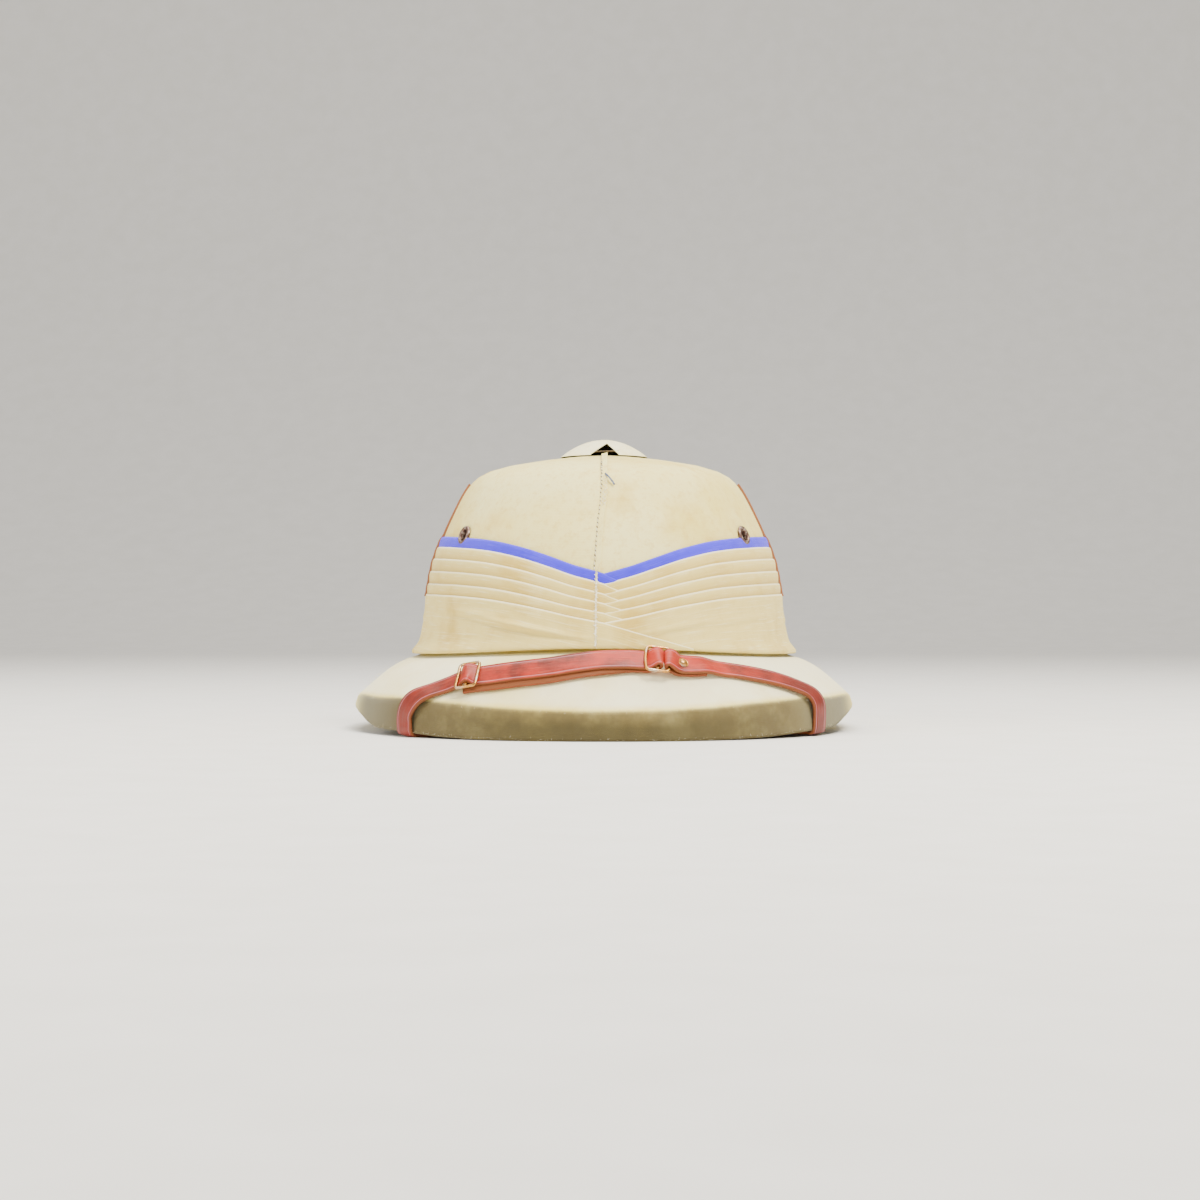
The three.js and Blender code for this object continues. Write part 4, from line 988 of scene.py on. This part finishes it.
# Chin strap: the route over the brim is the part's own, in degrees from the front and shares of the brim's reach
strap = {
    "width": 12.4, "thickness": 1.8, "lay": 0.55, "gap": 0.3, "wire": 1.2, "wireGap": 0.4, "creaseLift": 1.5,
    "lipRun": 27, "smoothing": 16,
    "slideTurn": -30.5, "ringTurn": 12.1, "studTurn": 18, "tailTurn": 23.6, "tilt": 12, "slip": 1.9, "middleSlip": 2.6,
    "tiltFrom": (-30, 15), "tiltTo": (45, 0), "lipStep": 1.2, "layStep": 1.5, "longStep": 2,
    "route": [(-45.6, 0.993), (-46, 0.985), (-45.2, 0.977), (-42.9, 0.958), (-40.4, 0.895), (-38.1, 0.79), (-35, 0.71),
              (-31.1, 0.65), (-29.1, 0.61), (-24.1, 0.55), (-19.3, 0.504), (-12.2, 0.449), (-6.5, 0.392), (-0.8, 0.345),
              (4.9, 0.335), (10.1, 0.358), (14.5, 0.398), (18.5, 0.43), (26.2, 0.47), (32, 0.53), (37.8, 0.61),
              (42.6, 0.7), (46.5, 0.8), (49.3, 0.89), (51, 0.955), (51.8, 0.98), (51.9, 0.993)],
    "anchor": {"turn": 88, "rise": 14, "height": 18, "thickness": 2},
}
routeSamples = splineThrough(strap["route"], 1600)
routePoints = brimPoint(routeSamples[:, 0] * degree, routeSamples[:, 1])
routeRun = runAlong(routePoints)
layHeight = strap["lay"] + strap["thickness"] / 2
secondHeight = layHeight + strap["thickness"] + strap["gap"]
loopRadius = strap["wire"] / 2 + strap["wireGap"] + strap["thickness"] / 2
barSpacing = 2 * (loopRadius + strap["thickness"] / 2) + strap["gap"]
barHeight = secondHeight + loopRadius


def alongAt(turnDegrees):
    return float(routeRun[np.argmax(routeSamples[:, 0] >= turnDegrees)])


slideAlong, ringAlong, studAlong, tailAlong = (
    alongAt(strap[key + "Turn"]) for key in ("slide", "ring", "stud", "tail"))


def station(along, height, slip=0.0):
    turn = np.interp(along, routeRun, routeSamples[:, 0]) * degree
    # between the slide and the ring the strap stands up a little on its lower edge
    (rise, risen), (fall, fallen) = strap["tiltFrom"], strap["tiltTo"]
    share = smoothstep(slideAlong + rise, slideAlong + risen, along)
    share = share * smoothstep(ringAlong + fall, ringAlong + fallen, along)
    out = np.interp(along, routeRun, routeSamples[:, 1]) + (slip + strap["middleSlip"] * share) / brim["frontReach"]
    face = brimFace(turn, out)
    outward = unit(brimPoint(turn, out + 0.01) - brimPoint(turn, out - 0.01))
    angle = strap["tilt"] * degree * share
    lifted = np.asarray(height, float) + strap["width"] / 2 * np.sin(angle)
    tilted = face * np.cos(angle)[..., None] + outward * np.sin(angle)[..., None]
    return brimPoint(turn, out) + face * lifted[..., None], tilted


def outerBar(along, sideSign):
    reached = np.linalg.norm(station(along + sideSign * barSpacing, barHeight)[0] - station(along, barHeight)[0])
    return along + sideSign * barSpacing**2 / float(reached)


def run(start, end, rows, faceSign, spacing, slips=((0, 0), (1000, 0))):
    count = max(2, round(abs(end - start) / spacing))
    along = np.linspace(start, end, count + 1)
    place, face = station(along, smoothTable(sorted(rows), along), smoothTable(slips, along))
    return [(p, f * faceSign) for p, f in zip(place, face)]


def loopRound(along, middle, towards, upSign, faceSign):
    hub = station(along, middle)[0]
    found = []
    for k in range(1, 12):
        angle = -math.pi / 2 + math.pi * k / 12
        ahead, lift = towards * loopRadius * math.cos(angle), upSign * loopRadius * math.sin(angle)
        place = station(along + ahead, middle + lift)[0]
        found.append((place, unit(place - hub) * faceSign))
    return found


def underBrim(sideSign, turnDegrees):
    turn = turnDegrees * degree
    edge = brimPoint(turn, 1.0)
    along = unit(brimPoint(turn + 0.05, 1.0) - brimPoint(turn - 0.05, 1.0))
    up = np.array([0, 0, 1.0])
    outwards = unit(np.cross(along, up))
    down = unit(np.cross(along, outwards))
    clear = strap["lay"] + strap["thickness"] / 2
    wall = crown["wall"]

    def at(out, fall):
        return edge + outwards * out + down * fall

    corner = 0.8 * clear - 0.6
    found = [(at(clear, -1.2), outwards), (at(corner, corner), unit(outwards + down)),
             (at(-1.2 - clear / 3, clear), down), (at(-wall - 1.2, clear), down)]
    anchor = strap["anchor"]
    seatTurn = np.array(sideSign * anchor["turn"] * degree)
    face = -crownFace(seatTurn, anchor["rise"])
    seat = crownPoint(seatTurn, anchor["rise"]) + face * (wall + 0.3)
    climb = unit(up - face * float(up @ face))
    low = seat + face * (anchor["thickness"] + 0.3 + strap["thickness"] / 2)
    marks = [found[-1][0], at(-4 * wall, clear - 1), found[-1][0] * 0.45 + (low - climb * 2 * anchor["height"]) * 0.55,
             low - climb * 1.3 * anchor["height"], low - climb * 0.6 * anchor["height"],
             low + climb * anchor["height"] / 2]
    bend = splineThrough(marks, 40)
    for k in range(1, 41):
        turned = float(smoothstep(0.05, 0.6, k / 40))
        found.append((bend[k], unit(down * (1 - turned) + face * turned)))
    return found


slideLow, slideHigh = outerBar(slideAlong, -1), outerBar(slideAlong, 1)
ringLow, ringHigh = outerBar(ringAlong, -1), outerBar(ringAlong, 1)
routeLength = float(routeRun[-1])
lipRun, creaseLift = strap["lipRun"], strap["creaseLift"]
overRows = [(0, layHeight), (0.4 * lipRun, layHeight + creaseLift), (0.9 * lipRun, layHeight + creaseLift),
            (slideAlong - 3 * barSpacing, layHeight), (slideLow, secondHeight - strap["gap"]),
            (slideAlong, barHeight + loopRadius), (slideHigh, secondHeight - strap["gap"] / 2), (ringLow, secondHeight),
            (ringAlong, barHeight + loopRadius)]
underRows = [(slideAlong - loopRadius, layHeight), (ringLow, layHeight), (ringAlong, barHeight - loopRadius)]
underSlips = [(slideAlong - 10, strap["slip"]), (slideAlong + 20, strap["slip"]), (ringAlong - 30, strap["slip"] * 0.8),
              (ringLow, 0)]
tailRows = [(ringHigh, barHeight - loopRadius), (ringHigh + barSpacing, layHeight), (tailAlong, layHeight)]
rightRows = [(ringHigh, barHeight + loopRadius), (ringHigh + 1.2 * barSpacing, secondHeight),
             (tailAlong - 2, secondHeight), (tailAlong + 2 * barSpacing, layHeight),
             (routeLength - 0.9 * lipRun, layHeight + creaseLift), (routeLength - 0.4 * lipRun, layHeight + creaseLift),
             (routeLength, layHeight)]
loopStep, lipStep, layStep, longStep = barSpacing / 8, strap["lipStep"], strap["layStep"], strap["longStep"]
leftRun = (underBrim(-1, strap["route"][0][0])[::-1]
           + run(0, lipRun, overRows, 1, lipStep)
           + run(lipRun + layStep, slideAlong - 2 * barSpacing, overRows, 1, layStep)
           + run(slideAlong - 1.9 * barSpacing, slideHigh, overRows, 1, loopStep)
           + run(slideAlong + 1.3 * barSpacing, ringAlong - 1.5 * barSpacing, overRows, 1, longStep)
           + run(ringAlong - 1.4 * barSpacing, ringAlong, overRows, 1, loopStep)
           + loopRound(ringAlong, barHeight, 1, -1, 1)
           + run(ringAlong, ringAlong - 1.4 * barSpacing, underRows, -1, loopStep, underSlips)
           + run(ringAlong - 1.5 * barSpacing, slideAlong - loopRadius, underRows, -1, longStep, underSlips))
rightRun = (run(tailAlong, ringHigh + barSpacing, tailRows, -1, longStep)
            + run(ringHigh + barSpacing - loopStep, ringHigh, tailRows, -1, loopStep)
            + loopRound(ringHigh, barHeight, -1, 1, 1)
            + run(ringHigh + 0.1, ringHigh + 1.4 * barSpacing, rightRows, 1, loopStep)
            + run(ringHigh + 1.5 * barSpacing, routeLength - lipRun, rightRows, 1, layStep)
            + run(routeLength - lipRun + lipStep, routeLength, rightRows, 1, lipStep)
            + underBrim(1, strap["route"][-1][0]))


def strapPiece(name, stations, rim, overSign):
    place = np.array([p for p, f in stations])
    face = np.array([f for p, f in stations])
    reached = runAlong(place)
    overRim = (reached - reached[rim]) * overSign
    share = (smoothstep(-2, 3, overRim) * smoothstep(46, 36, overRim))[1:-1, None]
    for _ in range(strap["smoothing"]):
        place[1:-1] += share * ((place[:-2] + 2 * place[1:-1] + place[2:]) / 4 - place[1:-1])
        face[1:-1] = unit(face[1:-1] + share * ((face[:-2] + face[1:-1] + face[2:]) / 3 - face[1:-1]))
    for _ in range(2):
        face[1:-1] = unit(face[:-2] + 2 * face[1:-1] + face[2:])
    along = unit(np.gradient(place, axis=0))
    side = unit(np.cross(face, along))
    face = np.cross(along, side)
    half, thick = strap["width"] / 2, strap["thickness"] / 2
    upper = [(half / 3, thick + 0.1), (half - 3.2, thick + 0.05), (half - 1.8, thick), (half - 1.5, thick - 0.2),
             (half - 1.2, thick), (half - 0.6, thick), (half - 0.22, thick * 0.82), (half, thick * 0.45),
             (half, -thick * 0.5)]
    ring = ([(-s, f) for s, f in upper[::-1]] + [(0, thick + 0.12)] + upper
            + [(half - 0.3, -thick), (0, -thick), (-half + 0.3, -thick)])
    length = runAlong(place)
    nick = 0.12 * ripple(length / 2.1, 0.0, len(name), 9)
    columns = []
    for s, f in ring:
        across = s + np.sign(s) * nick * (abs(s) > half - 0.7)
        columns.append(place + side * across[:, None] + face * f)
    grid = np.stack(columns, 1)
    v = [s + 40 if f < -0.9 * thick else s for s, f in ring] + [-half]  # the flesh side is 40 further on
    return gridPiece(name, grid, length, v, capEnds=True, sharpAngle=55)


underCount = len(underBrim(1, strap["route"][-1][0]))
dress(strapPiece("strapLeft", leftRun, underCount, 1), strapLeather, "strap_leather", "strap_left")
dress(strapPiece("strapRight", rightRun, len(rightRun) - underCount, -1), strapLeather, "strap_leather", "strap_right")
print("strap made")

# Slide and ring: round wire bent to a frame, with a middle bar
wire = {"radius": 0.84, "corner": 1.7, "sides": 12, "margin": 1.9}


def frameAxes(along):
    before, after = station(along - barSpacing, barHeight), station(along + barSpacing, barHeight)
    across = unit(after[0] - before[0])
    side = unit(np.cross(unit(before[1] + after[1]), across))
    return station(along, barHeight)[0], across, side, np.cross(across, side)


def makeFrame(name, along, bow):
    place, across, side, face = frameAxes(along)
    halfAcross = barSpacing
    halfSide = strap["width"] / 2 + wire["margin"]
    corner = wire["corner"]
    loop = []
    for cx, cy, start in ((1, 1, 0), (-1, 1, 90), (-1, -1, 180), (1, -1, 270)):
        for k in range(6):
            angle = (start + 18 * k) * degree
            loop.append((cx * (halfAcross - corner) + corner * math.cos(angle),
                         cy * (halfSide - corner) + corner * math.sin(angle)))
    loop = np.array(loop)
    dense = []
    for a, b in zip(loop, np.roll(loop, -1, 0)):
        count = max(1, int(np.linalg.norm(b - a) / 1.0))
        dense += [a + (b - a) * k / count for k in range(count)]
    dense = np.array(dense)
    dense[:, 0] += np.where(dense[:, 0] < 0, -bow * (1 - (dense[:, 1] / halfSide) ** 2), 0)
    path = place + dense[:, :1] * across + dense[:, 1:] * side
    closedPath = np.vstack([path[-1:], path, path[:1]])
    grid = tubeGrid(closedPath, wire["radius"], wire["sides"], 1.0, np.tile(face, (len(closedPath), 1)))[1:-1]
    around = np.linspace(0, 60, len(path) + 1)
    outer = gridPiece(name, grid, around, np.linspace(0, 4, wire["sides"] + 1), roundRows=True)
    bar = [place + side * s for s in np.linspace(-halfSide, halfSide, 9)]
    middle = tubePiece(name + "Bar", bar, wire["radius"] * 0.9, wire["sides"], 1.0, np.tile(face, (9, 1)))
    return join(name, [outer, middle])


def join(name, parts):
    first = parts[0]
    with bpy.context.temp_override(active_object=first, object=first, selected_objects=parts,
                                   selected_editable_objects=parts):
        bpy.ops.object.join()
    parts[0].name = name
    return parts[0]


dress(makeFrame("strapSlide", slideAlong, 0.0), strapMetal, "strap_metal", "strap_slide")
dress(makeFrame("strapRing", ringAlong, 0.9), strapMetal, "strap_metal", "strap_ring")


def makeStud(along):
    def over(at):
        return station(at, smoothTable(sorted(rightRows), at) + strap["thickness"] / 2 + 0.16)

    place, outward = over(along)
    across = unit(over(along + 3)[0] - over(along - 3)[0])
    side = unit(np.cross(outward, across))
    face = np.cross(across, side)
    profile = [(0.02, -0.3), (2.7, -0.3), (3.0, 0.0), (3.0, 0.35), (2.75, 0.5), (2.45, 0.42), (2.3, 0.6), (1.9, 1.15),
               (1.3, 1.45), (0.6, 1.6), (0.02, 1.62)]
    piece = lathePiece("strapStud", profile, place, face, 40, 40)
    weld(piece, 3e-5)
    return piece


dress(makeStud(studAlong), strapMetal, "strap_metal", "strap_stud")
for node in ("strap_anchor_left", "strap_anchor_right"):
    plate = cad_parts[node]
    plate.data.materials.clear()
    plate.data.materials.append(strapMetal)
print("slide, ring, stud and anchors made")


# Threads: one tree lays stitches or loose fibres along a line that carries its outward direction
def threadTree():
    tree = bpy.data.node_groups.new("threads", "GeometryNodeTree")
    face = tree.interface
    inputs = {"Geometry": "Geometry", "Pitch": "Float", "Lean": "Float", "Stray": "Float", "Smallest": "Float",
              "Largest": "Float", "Seed": "Int", "Part": "Object", "Finish": "Material"}
    sockets = {label: face.new_socket(name=label, in_out="INPUT", socket_type="NodeSocket" + kind)
               for label, kind in inputs.items()}
    face.new_socket(name="Result", in_out="OUTPUT", socket_type="NodeSocketGeometry")
    source, target = tree.nodes.new("NodeGroupInput"), tree.nodes.new("NodeGroupOutput")

    def node(kind, settings, links):
        made = tree.nodes.new(kind)
        for key, value in settings.items():
            setattr(made, key, value)
        for key, value in links.items():
            if isinstance(value, bpy.types.NodeSocket):
                tree.links.new(value, made.inputs[key])
            else:
                made.inputs[key].default_value = value
        return made

    def amount(key, seedShift):
        low = node("ShaderNodeVectorMath", {"operation": "SCALE"}, {0: (-1, -1, -1), 3: source.outputs[key]})
        high = node("ShaderNodeVectorMath", {"operation": "SCALE"}, {0: (1, 1, 1), 3: source.outputs[key]})
        seed = node("ShaderNodeMath", {"operation": "ADD"}, {0: source.outputs["Seed"], 1: seedShift})
        draw = node("FunctionNodeRandomValue", {"data_type": "FLOAT_VECTOR"}, {0: low.outputs[0], 1: high.outputs[0]})
        tree.links.new(seed.outputs[0], draw.inputs["Seed"])
        return draw.outputs[0]

    line = node("GeometryNodeMeshToCurve", {}, {0: source.outputs["Geometry"]})
    spaced = node("GeometryNodeResampleCurve", {"mode": "LENGTH"},
                  {"Curve": line.outputs[0], "Length": source.outputs["Pitch"]})
    strayed = node("GeometryNodeSetPosition", {}, {"Geometry": spaced.outputs[0], "Offset": amount("Stray", 1.0)})
    outward = node("GeometryNodeInputNamedAttribute", {"data_type": "FLOAT_VECTOR"}, {"Name": "outward"})
    tangent = node("GeometryNodeInputTangent", {}, {})
    axes = node("FunctionNodeAxesToRotation", {"primary_axis": "Z", "secondary_axis": "X"},
                {0: outward.outputs[0], 1: tangent.outputs[0]})
    tilt = node("FunctionNodeEulerToRotation", {}, {0: amount("Lean", 2.0)})
    turned = node("FunctionNodeRotateRotation", {"rotation_space": "LOCAL"}, {0: axes.outputs[0], 1: tilt.outputs[0]})
    draw = node("FunctionNodeRandomValue", {"data_type": "FLOAT"}, {})
    tree.links.new(source.outputs["Smallest"], draw.inputs[2])
    tree.links.new(source.outputs["Largest"], draw.inputs[3])
    tree.links.new(source.outputs["Seed"], draw.inputs["Seed"])
    part = node("GeometryNodeObjectInfo", {}, {0: source.outputs["Part"]})
    placed = node("GeometryNodeInstanceOnPoints", {},
                  {"Points": strayed.outputs[0], "Instance": part.outputs["Geometry"], "Rotation": turned.outputs[0],
                   "Scale": draw.outputs[1]})
    real = node("GeometryNodeRealizeInstances", {}, {0: placed.outputs[0]})
    coloured = node("GeometryNodeSetMaterial", {}, {"Geometry": real.outputs[0], "Material": source.outputs["Finish"]})
    tree.links.new(coloured.outputs[0], target.inputs[0])
    return tree, {label: socket.identifier for label, socket in sockets.items()}


threads, threadInputs = threadTree()
lowestThread = 0.00015


def layThreads(name, path, outward, part, material, slot, **values):
    path = np.asarray(path, float)
    line = bpy.data.meshes.new(name)
    line.from_pydata((path / 1000).tolist(), [(k, k + 1) for k in range(len(path) - 1)], [])
    attribute = line.attributes.new("outward", "FLOAT_VECTOR", "POINT")
    attribute.data.foreach_set("vector", np.asarray(outward, np.float32).ravel())
    piece = addObject(name, line)
    modifier = piece.modifiers.new("threads", "NODES")
    modifier.node_group = threads
    modifier[threadInputs["Part"]] = part
    modifier[threadInputs["Finish"]] = material
    for key, value in values.items():
        modifier[threadInputs[key[0].upper() + key[1:]]] = value
    bake(piece)
    places = np.empty(3 * len(piece.data.vertices), np.float32)
    piece.data.vertices.foreach_get("co", places)
    places[2::3] = np.maximum(places[2::3], lowestThread)
    piece.data.vertices.foreach_set("co", places)
    piece.data.polygons.foreach_set("use_smooth", [True] * len(piece.data.polygons))
    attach(piece, "root")
    return piece


def arc(length, rise, tilt, count=7):
    found = []
    for k in range(count):
        s = k / (count - 1)
        found.append(((s - 0.5) * length, (s - 0.5) * tilt, rise * math.sin(math.pi * s) - 0.15))
    return found


# each part: its length, rise and tilt, then the thread's radius
stitchSet = {
    "pitch": 0.0027, "crossPitch": 0.0026, "backPitch": 0.00286, "sides": 6,
    "parts": {"handStitch": (1.9, 0.42, 0.25, 0.2), "needleHole": (0.75, 0.3, 0.5, 0.26),
              "crossStitch": (2.6, 0.6, 2.4, 0.13), "crossBack": (2.6, 0.6, -2.4, 0.13),
              "cordStitch": (1.7, 0.55, 1.9, 0.2)},
}
handStitch, needleHole, crossStitch, crossBack, cordStitch = (
    tubePiece(name, arc(*shape), radius, stitchSet["sides"]) for name, (*shape, radius) in stitchSet["parts"].items())


def seamLine(fromZ, toZ, shift, offset, count=60):
    z = np.linspace(fromZ, toZ, count)
    zs, xs = np.array(seam["edge"]).T
    x = np.interp(z, zs, xs) + shift
    heights = z - brim["height"]
    path = besideFront(heights, x, np.full(count, offset))
    reach = crownReach(heights / crown["rise"]) * crown["halfWidth"]
    return path, crownFace(np.arcsin(np.clip(x / reach, -0.9, 0.9)), heights)


fine = {"lean": 0.16, "stray": 0.00018, "smallest": 0.85, "largest": 1.2}
# The needle holes are dark beads laid as painted shade.
# name, part, thread, pitch and seed, then from z, to z, shift, offset and count
for name, part, thread, pitch, seed, *course in (
        ("seamStitches", handStitch, paleThread, stitchSet["pitch"], 3, 91, 152, -seam["width"] + 0.1, 0.25),
        ("needleHoles", needleHole, darkThread, stitchSet["pitch"], 4, 92.3, 150, -seam["width"] + 0.1, 0.18),
        ("seamCrossOne", crossStitch, paleThread, stitchSet["crossPitch"], 5, 126, 140.5, -1.2, 0.7, 20),
        ("seamCrossTwo", crossBack, paleThread, stitchSet["backPitch"], 6, 126, 140.5, -1.2, 0.7, 20)):
    path, outward = seamLine(*course)
    layThreads(name, path, outward, part, thread, "drill_cloth", pitch=pitch, seed=seed, **fine)

# The light cord that holds the folds left of the V, and its stitches
cordSet = {"turn": -2.35, "radius": 0.52, "rows": 150, "pitch": 0.0021}


def cordLine():
    top = float(foldTop(0, np.array(0.0))) + 0.6
    bottom = float(jointLift(0.0)) + 0.8
    heights = np.linspace(top, bottom, cordSet["rows"])
    cover = np.array([wrapOffset(cordSet["turn"], h) for h in heights + 0.3])
    cover = np.convolve(np.pad(cover, 3, "edge"), np.ones(7) / 7, "valid")
    turn = (cordSet["turn"] + 0.14 * ripple(heights / 5, 0.0, 81)) * degree
    return overCrown(turn, heights, cover + 0.28), crownFace(turn, heights)


path, outward = cordLine()
dress(tubePiece("foldCord", path, cordSet["radius"], 8, 0.8, outward), paleThread, "wrap_cloth")
layThreads("cordStitches", path, outward, cordStitch, paleThread, "wrap_cloth", pitch=cordSet["pitch"], seed=8, **fine)

# Worn fibres round the rim and the crease, and down the brim where its outline shows them
curl = [(0, 0, -0.3), (0.1, 0.05, 0.5), (0.35, 0.1, 1.2), (0.8, 0.2, 1.8), (1.4, 0.35, 2.2)]
fibre = tubePiece("fibre", curl, 0.07, 4)
fluff = {"lean": 1.4, "stray": 0.0006, "smallest": 0.2, "largest": 0.55}
wear = {"pitch": 0.0011, "lean": 1.1, "stray": 0.0012, "smallest": 0.25, "largest": 0.8}
for name, share, pitch, seed in (("rimFibres", 0.998, 0.0018, 11), ("creaseFibres", 0.962, 0.0045, 13)):
    around = np.linspace(-179.9, 179.9, 720) * degree
    layThreads(name, brimPoint(around, share), brimFace(around, min(share, 0.98)), fibre, paleThread, "drill_cloth",
               pitch=pitch, seed=seed, **fluff)
for count, (at, low, high) in enumerate([(-92, 0.3, 0.96), (-88, 0.35, 0.96), (-84, 0.5, 0.95), (90, 0.5, 0.95)]):
    outs = np.linspace(low, high, 40)
    around = np.full(40, at * degree)
    layThreads(f"brimFibres{count + 1}", brimPoint(around, outs), brimFace(around, outs), fibre, paleThread,
               "drill_cloth", seed=20 + count, **wear)

# One loose grey thread beside the seam: x, lift off the cloth and z
loose = {"radius": 0.52, "rows": 24,
         "points": [(0.8, 0.9, 142.6), (2.2, 1.8, 140.6), (4.0, 1.6, 138.6), (5.6, 1.1, 136.4)]}
x, lift, z = np.array(loose["points"]).T
path = splineThrough(besideFront(z - brim["height"], x, lift), loose["rows"])
faces = np.tile([0, -0.7, 0.7], (loose["rows"] + 1, 1))
dress(tubePiece("looseSeam", path, loose["radius"], 6, 1.0, faces), greyThread, "drill_cloth")
for part in (handStitch, needleHole, crossStitch, crossBack, cordStitch, fibre):
    bpy.data.objects.remove(part)
print("threads made")

# Floor, backdrop and light
studio = {
    "floor": tone(232, 230, 226), "fleck": tone(237, 235, 232), "sweep": 1.6, "depth": 2.2, "near": -25.0,
    "width": 25.0, "height": 9.0, "sky": (1.0, 0.98, 0.94, 1), "skyStrength": 0.8,
}
lights = {  # place, target, size, power, colour
    "keyLight": [(0.55, -0.75, 1.45), (0, -0.02, 0.08), 0.8, 52, (1.0, 0.95, 0.84)],
    "topLight": [(-0.15, 0.35, 1.6), (0, 0, 0.1), 1.1, 28, (1.0, 0.97, 0.9)],
    "sideLight": [(-1.3, -0.9, 0.7), (0, 0, 0.08), 0.9, 14, (1.0, 0.98, 0.95)],
}


def makeFloor(values):
    angles = np.linspace(0, math.pi / 2, 24)
    profile = [(values["near"], 0.0)]
    profile += [(values["depth"] + values["sweep"] * math.sin(a), values["sweep"] * (1 - math.cos(a))) for a in angles]
    profile.append((profile[-1][0], values["height"]))
    grid = 1000 * np.array([[(x, y, z) for y, z in profile] for x in (-values["width"], values["width"])])
    floor = gridPiece("floor", grid, [0, 1], np.arange(len(profile)), roundColumns=False)
    if floor.data.polygons[0].normal.z < 0:
        floor.data.flip_normals()
    finish = Finish("studioFloor")
    speckle = finish.noise(finish.place(), 30.0, 2.0)
    colour = finish.blend(finish.between(speckle, 0.2, 0.8), values["floor"], values["fleck"])
    floor.data.materials.append(finish.done(Base_Color=colour, Roughness=0.9))


def addLight(name, place, target, size, power, colour):
    data = bpy.data.lights.new(name, "AREA")
    data.shape = "DISK"
    data.size, data.energy, data.color = size, power, colour
    light = addObject(name, data)
    light.location = place
    light.rotation_euler = (Vector(target) - Vector(place)).to_track_quat("-Z", "Y").to_euler()


makeFloor(studio)
for name, values in lights.items():
    addLight(name, *values)
world = bpy.data.worlds.new("studio")
world.use_nodes = True
backdrop = world.node_tree.nodes["Background"]
backdrop.inputs[0].default_value = studio["sky"]
backdrop.inputs[1].default_value = studio["skyStrength"]
bpy.context.scene.world = world
print("studio made")
